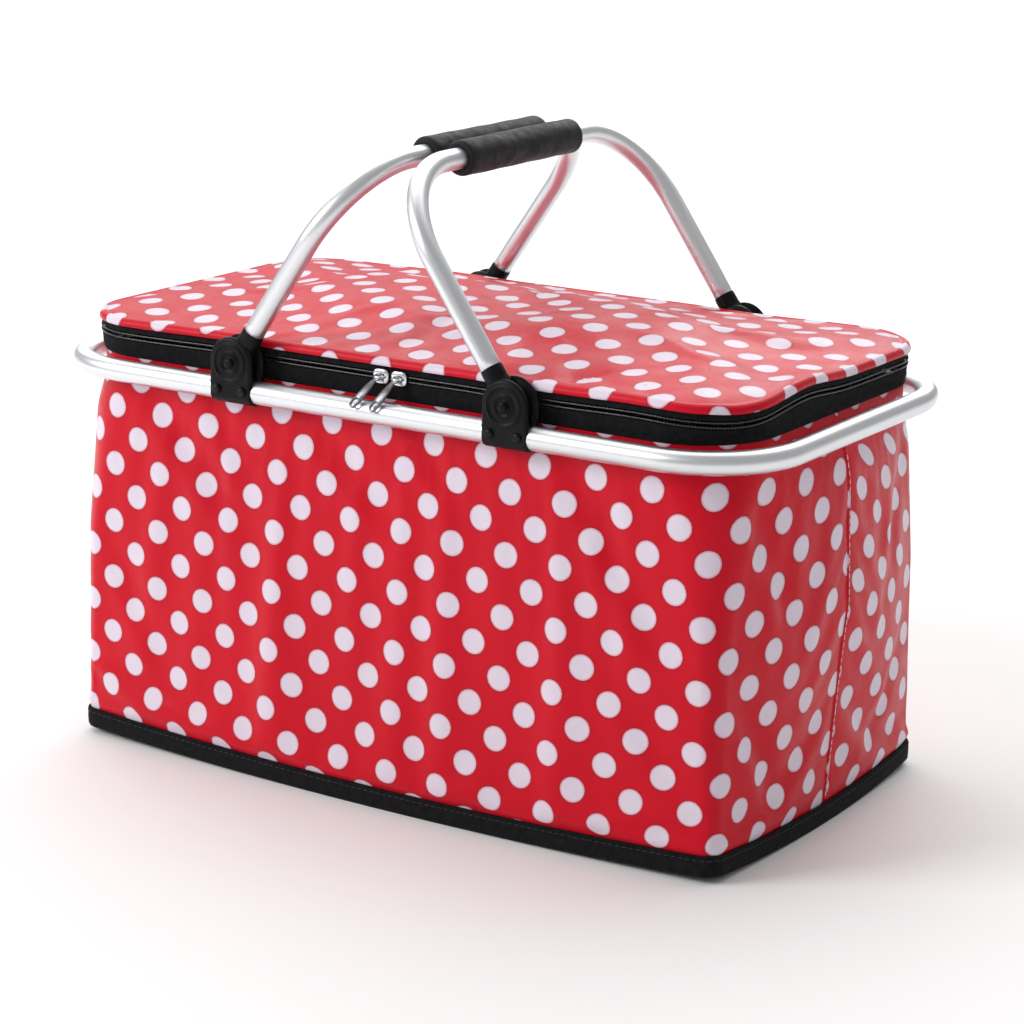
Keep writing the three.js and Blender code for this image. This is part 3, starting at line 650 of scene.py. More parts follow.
def capsule(start, end, radius, sides=6):
    """A short rounded rod between two points."""
    axis = Vector(end) - Vector(start)
    turn = axis.to_track_quat("Z", "Y").to_matrix()
    rings = [(0.0, 0.35), (0.12, 0.85), (0.3, 1), (0.7, 1), (0.88, 0.85), (1.0, 0.35)]
    rows = []
    for along, share in rings:
        circle = [Vector((math.cos(a), math.sin(a), 0)) * radius * share
                  for a in np.linspace(0, 2 * math.pi, sides, endpoint=False)]
        rows.append([Vector(start) + axis * along + turn @ p for p in circle])
    rows = np.array(rows)
    uv = np.zeros((*rows.shape[:2], 2))
    uv[..., 1] = np.linspace(0, axis.length, len(rows))[:, None]
    uv[..., 0] = np.linspace(0, 2 * math.pi * radius, sides)[None]
    return grid(rows, uv, close_columns=True, caps=True)


def build_side_seams():
    """A folded welt down each side with a line of white stitches."""
    heights = np.linspace(14 * MM, 218 * MM, 42)
    for side, sign in (("left", -1), ("right", 1)):
        profile = [(-1.7, 0.1), (-1.4, 0.6), (-0.8, 0.95), (0.2, 1.0), (1.0, 0.85), (1.5, 0.5), (1.7, 0.1)]
        rows = []
        for z in heights:
            size = wall_size(z)
            face = size["x"] + size["side"]
            rows.append([(sign * (face + out * MM), y * MM, z) for y, out in profile])
        rows = shape_base(np.array(rows).reshape(-1, 3)).reshape(len(heights), len(profile), 3)
        uv = np.zeros((*rows.shape[:2], 2))
        uv[..., 0] = np.array([y for y, _ in profile]) * MM + 0.3
        uv[..., 1] = heights[:, None]
        welt = mesh_object(f"side_welt_{side}", *grid(rows, uv))
        thicken(welt, 0.5 * MM, 1)
        outward(welt)
        finish_piece(welt, "base", "dotted_cloth", WALL_CLOTH, f"seam_welt_{side}")
        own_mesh(welt)
        stitches = []
        for z in np.arange(16 * MM, 214 * MM, 4.4 * MM):
            ends = []
            for height in (z, z + 3 * MM):
                size = wall_size(height)
                ends.append((sign * (size["x"] + size["side"] + 1.15 * MM), -0.5 * MM, height))
            ends = shape_base(np.array(ends))
            stitches.append(capsule(ends[0], ends[1], 0.24 * MM))
        line = mesh_object(f"side_stitching_{side}", *merged(stitches))
        finish_piece(line, "base", "dotted_cloth", WHITE_THREAD)
        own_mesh(line)


def build_lining():
    """The foil tub, crinkled, open at the top."""
    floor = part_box("lining_tub")[0].z
    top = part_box("lining_tub")[1].z
    heights = np.linspace(floor, top, 48)
    rows = [ring_at(z, -5.8 * MM) for z in heights]
    base = ring_at(floor, -5.8 * MM)
    for share in (0.97, 0.8, 0.6, 0.4, 0.2, 0.05):
        rows.insert(0, base * (share, share, 1))
    rows = np.array(rows)
    flat = rows.reshape(-1, 3)
    inward = -flat * (1, 1, 0) / np.linalg.norm(flat[:, :2], axis=1, keepdims=True)
    crinkle = 0.5 + 0.5 * ripple(flat, 60 * MM, 3)
    fade = smoothstep(floor + 2 * MM, floor + 20 * MM, flat[:, 2]) * smoothstep(top, top - 8 * MM, flat[:, 2])
    flat = flat + inward * (crinkle * fade * 1.8 * MM)[:, None]
    uv = np.stack(np.meshgrid(lengths(rows[-1]), np.linspace(0, 0.35, len(rows))), -1)
    tub = mesh_object("foil_tub", *grid(flat.reshape(rows.shape), uv, close_columns=True))
    thicken(tub, 0.4 * MM)
    outward(tub)
    finish_piece(tub, "base", "foil_lining", FOIL, "lining_tub")
    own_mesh(tub)


def build_base():
    """The binding round the bottom edge, with its stitching, and the skin under the bag."""
    profile = [(0.5, 0.2), (1.6, 0.0), (2.3, 1.2), (2.5, 5), (2.4, 9), (2.1, 11.2), (1.2, 12.2), (0.5, 11.4), (0.4, 6)]
    binding = mesh_object("base_binding", *swept_band([(o * MM, z * MM) for o, z in profile], base=True))
    outward(binding)
    finish_piece(binding, "base", "black_binding", BINDING, "base_trim")
    line = shape_base(ring_at(9.6 * MM, 2.45 * MM))
    along = lengths(line)
    spots = np.arange(0, along[-1], 4.2 * MM)
    ends = [np.column_stack([np.interp(spots + shift, along, line[:, k]) for k in range(3)])
            for shift in (0, 2.9 * MM)]
    stitches = [capsule(a, b, 0.3 * MM) for a, b in zip(*ends)]
    row = mesh_object("base_stitching", *merged(stitches))
    finish_piece(row, "base", "black_binding", DARK_THREAD)
    edge = outline(wall_size(0), -0.4 * MM)
    shares = (1.0, 0.99, 0.9, 0.7, 0.5, 0.3, 0.1)
    top = [np.column_stack([edge * s, np.full(len(edge), 1.1 * MM)]) for s in shares[::-1]]
    under = [np.column_stack([edge * s, np.full(len(edge), 0.1 * MM)]) for s in shares]
    rows = shape_base(np.array(top + under).reshape(-1, 3)).reshape(len(shares) * 2, len(edge), 3)
    uv = rows[..., :2].copy()
    skin = mesh_object("base_skin", *grid(rows, uv, close_columns=True, caps=True))
    outward(skin)
    finish_piece(skin, "base", "black_binding", BINDING, "floor_panel", "base_board", "floor_foam")


# ---------------------------------------------------------------- rim and handles

def rounded_path(leg, reach, across, bend, place):
    """Points of a U: a leg, a bend, a straight back, a bend and a leg. place turns (along, across) to 3-D."""
    steps = np.linspace(0, math.pi / 2, 25)
    flat = [(leg, -across)]
    flat += [(reach - bend + bend * math.sin(a), -across + bend - bend * math.cos(a)) for a in steps]
    flat += [(along, -side) for along, side in flat[::-1]]
    dense = []
    for (a, b), (c, d) in zip(flat, flat[1:]):
        pieces = max(1, int(math.hypot(c - a, d - b) / (8 * MM)))
        dense += [(a + (c - a) * t / pieces, b + (d - b) * t / pieces) for t in range(pieces)]
    return [Vector(place(a, b)) for a, b in dense + [flat[-1]]]


def tube(path, radius, sides=36, dents=None):
    """A round tube along a path, closed with a flat cap at each end."""
    along = lengths(np.array(path))
    rows = []
    side = None
    for i, point in enumerate(path):
        tangent = (path[min(i + 1, len(path) - 1)] - path[max(i - 1, 0)]).normalized()
        if side is None:
            side = tangent.orthogonal().normalized()
        side = (side - tangent * side.dot(tangent)).normalized()
        up = tangent.cross(side)
        r = radius if dents is None else radius * dents(along[i])
        rows.append([point + r * (side * math.cos(a) + up * math.sin(a))
                     for a in np.linspace(0, 2 * math.pi, sides, endpoint=False)])
    rows = np.array(rows)
    uv = np.stack(np.meshgrid(np.linspace(0, 2 * math.pi * radius, sides), along), -1)[..., ::-1]
    return grid(rows, uv, close_columns=True, caps=True)


def build_rim():
    for name, sign in (("left", -1), ("right", 1)):
        path = rounded_path(BRACKET_X + 1 * MM, RIM_X, RIM_Y, RIM_BEND, lambda a, b: (sign * a, sign * b, RIM_Z))
        piece = mesh_object(f"rim_{name}", *tube(path, RIM_RADIUS))
        finish_piece(outward(piece), "frame", "tube", ALUMINIUM, f"rim_tube_{name}")
    for name, sign in (("front", -1), ("back", 1)):
        ends = np.linspace(-BRACKET_X + 1 * MM, BRACKET_X - 1 * MM, 24)
        path = [Vector((x, sign * RIM_Y, RIM_Z)) for x in ends]
        piece = mesh_object(f"rim_{name}", *tube(path, RIM_RADIUS))
        finish_piece(outward(piece), "frame", "tube", ALUMINIUM, f"rim_tube_{name}")


def handle_place(sign):
    """Turns a handle's own (along, across, over) to 3-D: along its lean, across the bag, and out of its plane."""
    lean = Vector((-sign * math.sin(LEAN), 0, math.cos(LEAN)))
    over = Vector((math.cos(LEAN), 0, sign * math.sin(LEAN)))
    pivot = Vector((sign * BRACKET_X, 0, PIVOT_Z))
    return lambda along, across, off=0.0: pivot + lean * along + Vector((0, across, 0)) + over * off


def knuckle(place, across):
    """A flat round tang that grows into a round sleeve."""
    rows = []
    spots = np.concatenate([np.linspace(-8.9, 7, 22), np.linspace(8, 15, 9), [15.4, 16, 18, 20, 21.5, 21.9, 22]])
    for s in spots:
        disc = math.sqrt(max(81 - s * s, 0.2))
        sleeve = float(smoothstep(9, 15.4, s))
        width = disc if s < 6.4 else 6.3
        thick = 4.4 + 1.9 * sleeve
        power = 5 - 3 * sleeve
        if s > 21.4:
            width, thick = width * 0.97, thick * 0.97
        ring = []
        for a in np.linspace(0, 2 * math.pi, 40, endpoint=False):
            c, d = math.cos(a), math.sin(a)
            u = math.copysign(abs(c) ** (2 / power), c) * width
            v = math.copysign(abs(d) ** (2 / power), d) * thick
            ring.append(place(s * MM, across + v * MM, u * MM))
        rows.append(ring)
    rows = np.array(rows)
    uv = np.stack(np.meshgrid(np.linspace(0, 40, rows.shape[1]), spots), -1) * MM
    return grid(rows, uv, close_columns=True, caps=True)


def grip(place):
    """A thick foam sleeve with rounded ends and a slightly uneven skin."""
    half, bore, radius = 57, 6.1, 10
    profile = [(half - 6, bore), (half - 0.6, bore), (half, bore + 0.7), (half, radius - 1.6), (half - 0.6, radius - 0.6)]
    profile += [(half - 1.8, radius - 0.1)]
    profile += [(y, radius) for y in np.linspace(half - 4, -half + 4, 60)]
    profile += [(-y, r) for y, r in profile[5::-1]]
    profile += [(y, bore) for y in np.linspace(-half + 12, half - 12, 6)]
    angles = np.linspace(0, 2 * math.pi, 48, endpoint=False)
    rows = []
    for y, r in profile:
        ring = []
        for a in angles:
            swell = 0.22 * math.sin(3 * a + y * 0.09) * math.sin(y * 0.13) if r > 9 else 0
            ring.append(place(HANDLE_REACH + (r + swell) * math.cos(a) * MM, y * MM, (r + swell) * math.sin(a) * MM))
        rows.append(ring)
    rows = np.array(rows)
    uv = np.stack(np.meshgrid(angles * radius, lengths(np.array(profile))), -1) * MM
    return grid(rows, uv, close_rows=True, close_columns=True)


def crimps(total):
    """Two small dents pressed into each end of a handle tube to hold its sleeve."""
    def share(along):
        near = min(along, total - along)
        return 1 - 0.035 * math.exp(-((near - 10 * MM) / (2.2 * MM)) ** 2)
    return share


def build_handles():
    for name, sign in (("left", -1), ("right", 1)):
        body = f"handle_{name}"
        place = handle_place(sign)
        path = rounded_path(SLEEVE_END - 3 * MM, HANDLE_REACH, RIM_Y, HANDLE_BEND, place)
        total = lengths(np.array(path))[-1]
        piece = mesh_object(f"bail_{name}", *tube(path, HANDLE_RADIUS, dents=crimps(total)))
        finish_piece(outward(piece), body, "tube", ALUMINIUM, f"handle_tube_{name}")
        foam = mesh_object(f"grip_{name}", *grip(place))
        finish_piece(outward(foam), body, "grip_foam", GRIP, f"handle_grip_{name}")
        for end, across in (("front", -RIM_Y), ("back", RIM_Y)):
            sleeve = mesh_object(f"sleeve_{end}_{name}", *knuckle(place, across))
            finish_piece(outward(sleeve), body, "black_plastic", PLASTIC, f"knuckle_{end}_{name}")


# ---------------------------------------------------------------- brackets

CHEEK_DROP = PIVOT_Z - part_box("bracket_outer_front_left")[0].z


def cheek_reach(angle):
    """How far the cheek's edge is from the pivot in a direction."""
    c, s = math.cos(angle), math.sin(angle)
    if s >= 0:
        return CHEEK_RADIUS
    to_side = CHEEK_RADIUS / abs(c) if abs(c) > 1e-6 else 1e9
    return min(to_side, CHEEK_DROP / -s)


def cheek_height(x, z):
    """The outer face above the tube's middle: rings and a dome over a plate that rolls round the tube."""
    r = math.hypot(x, z)
    face = CHEEK_THICK - 0.9 * MM
    for ring in (5.6, 10.4):
        face += 1.0 * MM * math.exp(-((r / MM - ring) / 0.8) ** 2)
    if r < 3.4 * MM:
        face += 0.6 * MM * (1 - (r / (3.4 * MM)) ** 2)
    below = PIVOT_Z - RIM_Z + z
    if z < -9 * MM:
        brow = math.exp(-((z / MM + 12.4) / 1.1) ** 2) * (0.6 + 0.4 * (x / CHEEK_RADIUS) ** 2)
        face += 0.45 * MM * brow
        bump_x = min(abs(x - 8.8 * MM), abs(x + 8.8 * MM))
        near = math.hypot(bump_x, z + 15.5 * MM)
        face += 0.5 * MM * math.exp(-(near / (2.2 * MM)) ** 2)
    if below < 0:
        face = min(face, math.sqrt(max(CHEEK_THICK ** 2 - below ** 2, (0.3 * MM) ** 2)))
    return face


def cheek(sign_x, sign_y, outer):
    """One half of a bracket, as a closed shell."""
    angles = np.linspace(-math.pi, math.pi, 112, endpoint=False)
    shares = np.concatenate([np.linspace(0.02, 0.9, 44), [0.93, 0.955, 0.975, 0.99, 1.0]])
    facing = sign_y if outer else -sign_y
    rows = []
    for share in shares:
        ring = []
        for a in angles:
            reach = cheek_reach(a)
            x, z = reach * share * math.cos(a), reach * share * math.sin(a)
            inset = reach * (1 - share)
            lip = 2.3 * MM
            drop = lip - math.sqrt(max(lip ** 2 - max(lip - inset, 0) ** 2, 0))
            height = max(cheek_height(x, z) - drop, 0.2 * MM)
            ring.append((sign_x * BRACKET_X + x, sign_y * RIM_Y + facing * height, PIVOT_Z + z))
        rows.append(ring)
    for share in (1.0, 0.5, 0.05):
        ring = []
        for a in angles:
            reach = cheek_reach(a) * share
            x, z = reach * math.cos(a), reach * math.sin(a)
            back = 0.15 * MM + (SLOT_HALF - 0.15 * MM) * float(smoothstep(-9.5 * MM, -8 * MM, z))
            back = min(back, max(cheek_height(x, z) - 1.9 * MM, 0.1 * MM))
            ring.append((sign_x * BRACKET_X + x, sign_y * RIM_Y + facing * back, PIVOT_Z + z))
        rows.append(ring)
    rows = np.array(rows)
    return grid(rows, rows[..., [0, 2]], close_columns=True, caps=True)


def lathe(profile, centre, direction, sides=28):
    """A turned piece: (radius, along) pairs about an axis."""
    axis = Vector(direction)
    side = axis.orthogonal().normalized()
    up = axis.cross(side)
    rows = np.array([[Vector(centre) + axis * along + r * (side * math.cos(a) + up * math.sin(a))
                      for a in np.linspace(0, 2 * math.pi, sides, endpoint=False)] for r, along in profile])
    return grid(rows, rows[..., [0, 2]], close_columns=True, caps=True)


def build_brackets():
    pin = [(0.1, -7.4), (2.4, -7.3), (2.5, -6.5), (2.5, 7.2), (2.9, 7.5), (3.0, 8.2), (2.6, 8.9), (1.6, 9.3), (0.1, 9.4)]
    screw = [(0.1, 4.6), (1.4, 4.7), (1.4, 7), (2.6, 7.2), (2.75, 7.9), (2.3, 8.7), (1.5, 9.2), (1.1, 9.2), (0.6, 8.9),
             (0.1, 8.9)]
    for depth, sign_y in (("front", -1), ("back", 1)):
        for side, sign_x in (("left", -1), ("right", 1)):
            where = f"{depth}_{side}"
            for half, outer in (("outer", True), ("inner", False)):
                piece = mesh_object(f"cheek_{half}_{where}", *cheek(sign_x, sign_y, outer))
                finish_piece(outward(piece), "frame", "black_plastic", PLASTIC, f"bracket_{half}_{where}")
            centre = (sign_x * BRACKET_X, sign_y * RIM_Y, PIVOT_Z)
            dome = mesh_object(f"pin_{where}", *lathe([(r * MM, a * MM) for r, a in pin], centre, (0, sign_y, 0)))
            finish_piece(outward(dome), "frame", "black_plastic", PLASTIC, f"pivot_pin_{where}")
            for letter in ("a", "b"):
                node = f"bracket_screw_{where}_{letter}"
                low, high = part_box(node)
                spot = ((low.x + high.x) / 2, sign_y * RIM_Y, (low.z + high.z) / 2)
                head = mesh_object(f"screw_{where}_{letter}",
                                   *lathe([(r * MM, a * MM) for r, a in screw], spot, (0, sign_y, 0), 20))
                finish_piece(outward(head), "frame", "screw_steel", SCREW, node)


# ---------------------------------------------------------------- zip

def band_stitches(z, out):
    """A line of stitches round the bag."""
    line = ring_at(z, out)
    line[:, 2] += lid_wave(line)
    along = lengths(line)
    spots = np.arange(0, along[-1] - 3 * MM, 3.6 * MM)
    ends = [np.column_stack([np.interp(spots + shift, along, line[:, k]) for k in range(3)])
            for shift in (0, 2.4 * MM)]
    return merged([capsule(a, b, 0.22 * MM, 5) for a, b in zip(*ends)])


def build_collar():
    low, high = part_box("collar_band")
    folds = [(-1.0, low.z), (-0.1, low.z), (0.1, low.z + 6 * MM), (0.0, high.z - 4.5 * MM), (0.1, high.z - 2.4 * MM),
             (0.1, high.z - 0.5 * MM), (-0.2, high.z), (-1.2, high.z - 0.2 * MM)]
    collar = mesh_object("dotted_collar", *swept_band([(o * MM, z) for o, z in folds]))
    finish_piece(outward(collar), "frame", "dotted_cloth", HEM_CLOTH, "collar_band")


def ribbed(from_z, to_z, ribs):
    """A tape's profile with shallow ribs along it."""
    heights = np.linspace(from_z, to_z, 4 * ribs + 1)
    lap = 0.15 * MM + 0.4 * MM * smoothstep(to_z - 3 * MM, from_z + 3 * MM, heights) * (ribs > 2)
    outside = [(out + 0.12 * MM * math.sin(i * math.pi / 2) ** 2, z) for i, (out, z) in enumerate(zip(lap, heights))]
    return outside + [(-0.4 * MM, to_z), (-0.4 * MM, from_z)]


def teeth(z_from, z_to):
    """The coil of a zip: a small loop every 1.9 mm, with the cord it is sewn to."""
    line = ring_at((z_from + z_to) / 2, 0.3 * MM)
    line = np.roll(line, -len(line) // 4, axis=0)
    keep = ~((line[:, 1] > 0) & (np.abs(line[:, 0]) < HINGE_HALF))
    line = line[keep]
    line[:, 2] += lid_wave(line)
    along = lengths(line)
    spots = np.arange(0, along[-1], 1.9 * MM)
    rise = (z_to - z_from) / 2 - 0.1 * MM
    low = np.column_stack([np.interp(spots, along, line[:, k]) for k in range(3)])
    high = np.column_stack([np.interp(spots + 0.7 * MM, along, line[:, k]) for k in range(3)])
    low[:, 2] -= rise
    high[:, 2] += rise
    parts = [capsule(a, b, 0.46 * MM, 6) for a, b in zip(low, high)]
    cord = tube([Vector(p) for p in line], 0.45 * MM, 8)
    return merged(parts + [cord])


TAPE_HANG = 4.6 * MM


def build_zip():
    for body, tape, row, hang, name in (
        ("frame", "body_zip_tape", "body_zip_teeth", TAPE_HANG, "body"),
        ("lid", "lid_zip_tape", "lid_zip_teeth", 0.0, "lid"),
    ):
        low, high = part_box(tape)
        ribs = 3 if name == "body" else 2
        lower = low.z - hang
        band = mesh_object(f"{name}_tape", *swept_band(ribbed(lower, high.z, ribs), True, open_back=True))
        finish_piece(outward(band), body, "zip_tape", TAPE, tape)
        low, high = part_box(row)
        coil = mesh_object(f"{name}_coil", *teeth(low.z, high.z))
        finish_piece(coil, body, "zip_teeth", TEETH, row)


def build_hinge_strip():
    """The cloth that joins the lid to the body along the back."""
    low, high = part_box("back_hinge_strip")
    across = np.linspace(low.x, high.x, 90)
    foot = low.z - TAPE_HANG
    up = np.linspace(foot, high.z, 16)
    lap = 0.9 * MM * smoothstep(low.z + 1 * MM, low.z - 1 * MM, up)
    rows = np.array([[(x, high.y + out + 0.2 * MM * math.sin(x / (9 * MM)) * math.sin(math.pi * (z - foot) / (high.z - foot)), z)
                      for x in across] for z, out in zip(up, lap)])
    uv = np.stack(np.meshgrid(across, up), -1)
    strip = mesh_object("hinge_cloth", *grid(rows, uv))
    thicken(strip, 0.7 * MM)
    outward(strip)
    finish_piece(strip, None, "zip_tape", TAPE, "back_hinge_strip")
    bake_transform(strip)


# ---------------------------------------------------------------- lid

LID_EDGE_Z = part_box("lid_cover")[0].z
LID_TOP_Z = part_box("lid_cover")[1].z
LID_INSET = 2.3 * MM
# the lid's cloth folds over its edge: how far out, and how far above the cloth's lower edge, in millimetres
LID_SKIRT = ((-1.7, 0.95), (-1.2, 1.1), (-0.6, 0.75), (0.1, 0.3), (0.65, -0.4), (0.9, -1.3), (0.95, -2.6))


def lid_rows():
    edge = outline(wall_size(LID_EDGE_Z), -LID_INSET)
    shares = np.concatenate([np.linspace(0.04, 0.9, 30), [0.93, 0.955, 0.975, 0.99, 1.0]])
    rows = []
    for share in shares:
        crown = (LID_TOP_Z - LID_EDGE_Z - 0.5 * MM) * (1 - share ** 2.4)
        rows.append(np.column_stack([edge * share, np.full(len(edge), LID_EDGE_Z + 0.6 * MM + crown)]))
    cloth = [row[:, :2] for row in rows]
    previous = (-LID_INSET, LID_EDGE_Z + 0.6 * MM)
    reach = -LID_INSET
    for out, rise in LID_SKIRT:
        spot = (out * MM, LID_EDGE_Z + rise * MM)
        reach += math.dist(previous, spot)
        previous = spot
        rows.append(np.column_stack([outline(wall_size(LID_EDGE_Z), spot[0]), np.full(len(edge), spot[1])]))
        cloth.append(outline(wall_size(LID_EDGE_Z), reach))
    return np.array(rows), np.array(cloth)


def padded_lid():
    """The lid's cloth, blown up a little against its sewn edge so that it puckers."""
    rows, cloth_uv = lid_rows()
    shape = rows.shape
    sewn = len(LID_SKIRT) + 2
    sheet = mesh_object("lid_sim", *grid(rows, cloth_uv, close_columns=True))
    pins = sheet.vertex_groups.new(name="pins")
    pins.add(list(range((shape[0] - sewn) * shape[1], shape[0] * shape[1])), 1.0, "REPLACE")
    pins.add(list(range(shape[1])), 1.0, "REPLACE")
    cloth = sheet.modifiers.new("Cloth", "CLOTH")
    cloth.settings.vertex_group_mass = "pins"
    cloth.settings.quality = 6
    cloth.settings.mass = 0.25
    cloth.settings.tension_stiffness = 20
    cloth.settings.compression_stiffness = 20
    cloth.settings.bending_stiffness = 5.0
    cloth.settings.shrink_min = -0.003
    cloth.settings.use_pressure = True
    cloth.settings.uniform_pressure_force = 0.4
    cloth.settings.effector_weights.gravity = 0
    cloth.point_cache.frame_end = LID_FRAMES
    for number in range(1, LID_FRAMES + 1):
        bpy.context.scene.frame_set(number)
    freeze(sheet)
    settled = np.array([v.co for v in sheet.data.vertices]).reshape(shape)
    rows = rows + np.clip(settled - rows, -3 * MM, 3 * MM)
    bpy.data.objects.remove(sheet)
    bpy.context.scene.frame_set(1)
    flat = rows.reshape(-1, 3)
    share = np.maximum(np.abs(flat[:, 0]) / WALL[-1, 1], np.abs(flat[:, 1]) / WALL[-1, 2])
    inner = 1 - smoothstep(0.86, 0.975, share)
    crease = np.exp(-((flat[:, 0] - 165 * MM - 0.5 * flat[:, 1]) / (7 * MM)) ** 2)
    crease *= smoothstep(-20 * MM, -90 * MM, flat[:, 1])
    soft = ripple(flat * (1, 1, 0), 130 * MM, 11, 2)
    flat[:, 2] += (soft * 0.9 * MM - crease * 2.2 * MM) * inner
    flat[:, 2] += lid_wave(flat) * smoothstep(0.8, 0.97, share)
    return flat.reshape(shape), cloth_uv


LID_FRAMES = 14


def build_lid():
    rows, cloth_uv = padded_lid()
    top = mesh_object("lid_panel", *grid(rows, cloth_uv, close_columns=True))
    close_middle(top, rows.shape[1])
    thicken(top, 0.9 * MM)
    outward(top)
    finish_piece(top, "lid", "dotted_cloth", LID_CLOTH, "lid_cover", "lid_foam")
    low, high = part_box("lid_piping")
    fold = [(-1.8, low.z + 0.3 * MM), (0.2, low.z), (0.75, low.z + 0.2 * MM), (0.8, low.z + 0.7 * MM),
            (0.0, high.z - 0.5 * MM), (-0.9, high.z - 0.2 * MM), (-2.4, high.z - 0.2 * MM)]
    hem = mesh_object("lid_hem", *swept_band([(o * MM, z) for o, z in fold], True))
    finish_piece(outward(hem), "lid", "red_hem", HEM_CLOTH, "lid_piping")
    line = mesh_object("hem_stitching", *band_stitches(low.z + 0.9 * MM, 1.0 * MM))
    finish_piece(line, "lid", "red_hem", RED_THREAD)
    low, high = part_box("lid_lining")
    edge = outline(wall_size(low.z), -3 * MM)
    shares = np.linspace(0.04, 1, 26)
    rows = np.array([np.column_stack([edge * s, np.full(len(edge), low.z + 0.4 * MM)]) for s in shares])
    flat = rows.reshape(-1, 3)
    flat[:, 2] += (0.5 + 0.5 * ripple(flat, 50 * MM, 5)) * 0.9 * MM * np.repeat(1 - shares ** 6, len(edge))
    under = mesh_object("lid_foil", *grid(rows, rows[..., :2].copy(), close_columns=True, caps=False))
    close_middle(under, len(edge))
    thicken(under, 0.4 * MM)
    outward(under)
    finish_piece(under, "lid", "foil_lining", FOIL, "lid_lining")


def close_middle(piece, width):
    """Fills the small hole in the middle of a ring-shaped sheet."""
    import bmesh
    mesh = bmesh.new()
    mesh.from_mesh(piece.data)
    mesh.verts.ensure_lookup_table()
    centre = mesh.verts.new(sum((mesh.verts[i].co for i in range(width)), Vector()) / width)
    mesh.verts.ensure_lookup_table()
    layer = mesh.loops.layers.uv.active
    for i in range(width):
        face = mesh.faces.new((mesh.verts[(i + 1) % width], mesh.verts[i], centre))
        face.smooth = True
        for loop in face.loops:
            loop[layer].uv = loop.vert.co.xy
    mesh.to_mesh(piece.data)
    mesh.free()


# ---------------------------------------------------------------- sliders

def plate_with_hole(outer, inner, thick, place):
    """A flat plate between two loops of points, with softened edges."""
    outer, inner = np.array(outer), np.array(inner)
    soft = 0.18 * MM
    middle = outer.mean(0)
    tight = outer + (middle - outer) * 0.06
    wide = inner + (inner - inner.mean(0)) * 0.15
    layers = [(tight, -thick / 2), (outer, -thick / 2 + soft), (outer, thick / 2 - soft), (tight, thick / 2),
              (wide, thick / 2), (inner, thick / 2 - soft), (inner, -thick / 2 + soft), (wide, -thick / 2)]
    rows = np.array([[place(u, v, w) for u, v in loop] for loop, w in layers])
    uv = np.array([loop for loop, _ in layers])
    return grid(rows, uv, close_rows=True, close_columns=True)


def loop_points(half_width, start, end, taper, count=40):
    """A tab's outline: narrower at its start and round at its end."""
    points = []
    for a in np.linspace(0, 2 * math.pi, count, endpoint=False):
        c, s = math.cos(a), math.sin(a)
        v = (start + end) / 2 + (end - start) / 2 * math.copysign(abs(s) ** 0.8, s)
        share = (v - start) / (end - start)
        u = half_width * (taper + (1 - taper) * share) * math.copysign(abs(c) ** 0.62, c)
        points.append((u, v))
    return points


def build_sliders():
    for side in ("left", "right"):
        low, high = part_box(f"slider_{side}")
        x, y, z = (low.x + high.x) / 2, low.y, (low.z + high.z) / 2
        half_x, half_z = (high.x - low.x) / 2, (high.z - low.z) / 2
        face_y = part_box("body_zip_teeth")[0].y - 1.4 * MM
        crown = []
        for share, depth in ((1.0, 1.3), (1.0, 0.5), (0.94, 0.1), (0.8, -0.15), (0.5, -0.3), (0.08, -0.34)):
            crown.append([(x + half_x * share * math.copysign(abs(math.cos(a)) ** 0.55, math.cos(a)),
                           face_y + depth * MM,
                           z + half_z * share * math.copysign(abs(math.sin(a)) ** 0.7, math.sin(a)))
                          for a in np.linspace(0, 2 * math.pi, 44, endpoint=False)])
        crown = np.array(crown)
        parts = [grid(crown, crown[..., [0, 2]], close_columns=True, caps=True)]
        arch = [Vector((x + 3.4 * MM * math.cos(a), face_y - 2.9 * MM * math.sin(a), z))
                for a in np.linspace(0, math.pi, 20)]
        parts.append(tube(arch, 0.75 * MM, 14))
        body = mesh_object(f"zip_slider_{side}", *merged(parts))
        finish_piece(outward(body), f"slider_{side}", "slider_metal", NICKEL, f"slider_{side}")
        build_pull(side)


PULL_TILT = {"left": 0.52, "right": 0.44}


def build_pull(side):
    joint = next(j for j in frame["joints"] if j["name"] == f"pull_{side}_swing")
    pivot = Vector(joint["pos_m"])
    low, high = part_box(f"pull_{side}")
    tip = Vector((pivot.x, low.y, low.z))
    down = (tip - pivot).normalized()
    tilt = PULL_TILT[side]
    down = (Matrix.Rotation(tilt, 3, "Y") @ down).normalized()
    across = Vector((1, 0, 0))
    across = (across - down * across.dot(down)).normalized()
    normal = down.cross(across)
    length = (tip - pivot).length + 1.5 * MM

    def place(u, v, w):
        return pivot + across * u + down * v + normal * w

    tab = plate_with_hole(loop_points(3.3 * MM, 1.6 * MM, length, 0.6),
                          loop_points(1.5 * MM, length - 6.4 * MM, length - 1.5 * MM, 0.95), 1.0 * MM, place)
    ring = [place(2.1 * MM * math.cos(a), 1.9 * MM * math.sin(a), 0) for a in np.linspace(0, 2 * math.pi, 25)]
    eye = tube(ring, 0.5 * MM, 10)
    piece = mesh_object(f"zip_pull_{side}", *merged([tab, eye]))
    finish_piece(outward(piece), f"pull_{side}", "pull_metal", GUNMETAL, f"pull_{side}")
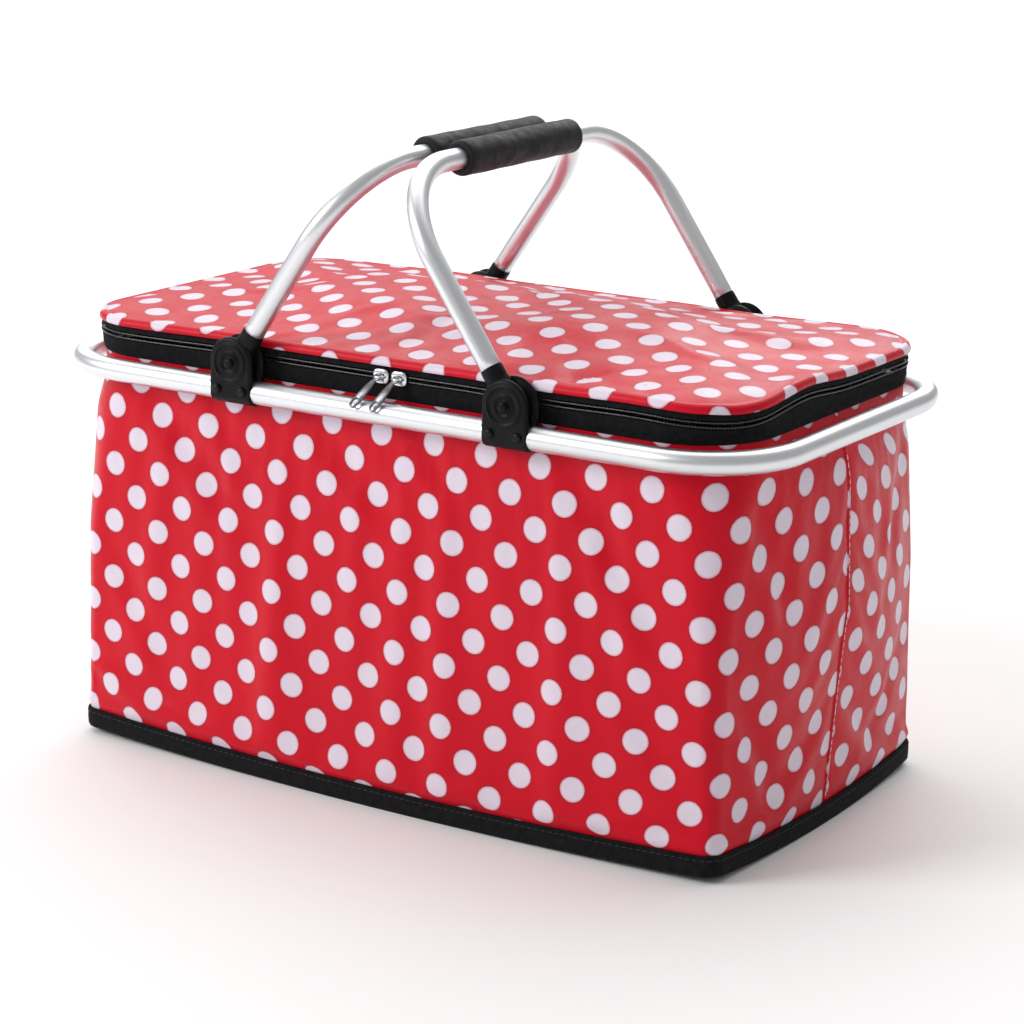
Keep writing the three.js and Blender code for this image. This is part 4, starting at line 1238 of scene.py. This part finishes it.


# ---------------------------------------------------------------- studio

def build_studio():
    floor = mesh_object("studio_floor", [(-9, -9, 0), (9, -9, 0), (9, 9, 0), (-9, 9, 0)], [(0, 1, 2, 3)], smooth=False)
    g = Graph("studio_paper", Specular_IOR_Level=0.15)
    g.set("Base Color", g.mix(g.noise(g.place(), 3, 2), colour(0.93, 0.93, 0.93), colour(0.95, 0.95, 0.95)))
    g.set("Roughness", g.span(g.noise(g.place(), 5, 2), 0, 1, 0.85, 0.95))
    floor.data.materials.append(g.material)
    floor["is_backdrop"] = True
    world = bpy.data.worlds.new("studio_world")
    world.use_nodes = True
    background = world.node_tree.nodes["Background"]
    background.inputs["Color"].default_value = colour(1, 1, 1)
    background.inputs["Strength"].default_value = 0.42
    bpy.context.scene.world = world
    for name, place, size, power in (
        ("key", (-1.7, -1.9, 1.5), 1.2, 43),
        ("ceiling", (-1.8, 2.5, 4.3), 8, 300),
        ("back", (-0.4, 1.9, 1.3), 1.0, 6),
    ):
        light = bpy.data.lights.new(name, "AREA")
        light.size = size
        light.energy = power
        lamp = bpy.data.objects.new(name, light)
        lamp.location = place
        aim = Vector((0, 0, 0.15)) - Vector(place)
        lamp.rotation_euler = aim.to_track_quat("-Z", "Y").to_euler()
        bpy.context.scene.collection.objects.link(lamp)
    bpy.context.scene.view_settings.view_transform = "Standard"


def build_camera():
    yaw, pitch, roll = (math.radians(v) for v in (33.18, 15.09, 0.65))
    back = Vector((math.sin(yaw) * math.cos(pitch), -math.cos(yaw) * math.cos(pitch), math.sin(pitch)))
    level = Vector((math.cos(yaw), math.sin(yaw), 0))
    upright = back.cross(level)
    right = level * math.cos(roll) + upright * math.sin(roll)
    up = upright * math.cos(roll) - level * math.sin(roll)
    camera = bpy.data.cameras.new("camera")
    camera.lens = 105.41
    camera.sensor_width = 36
    eye = bpy.data.objects.new("camera", camera)
    turn = Matrix((right, up, back)).transposed().to_4x4()
    eye.matrix_world = Matrix.Translation((0.93453, -1.41138, 0.60115)) @ turn
    bpy.context.scene.collection.objects.link(eye)
    bpy.context.scene.camera = eye


build_camera()
build_studio()
build_walls()
build_side_seams()
build_lining()
build_base()
build_rim()
build_handles()
build_brackets()
build_collar()
build_zip()
build_hinge_strip()
build_lid()
build_sliders()

boxes = {"cad": cad_bounds, "visual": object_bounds()}
{name: [list(corner) for corner in box] for name, box in boxes.items()}
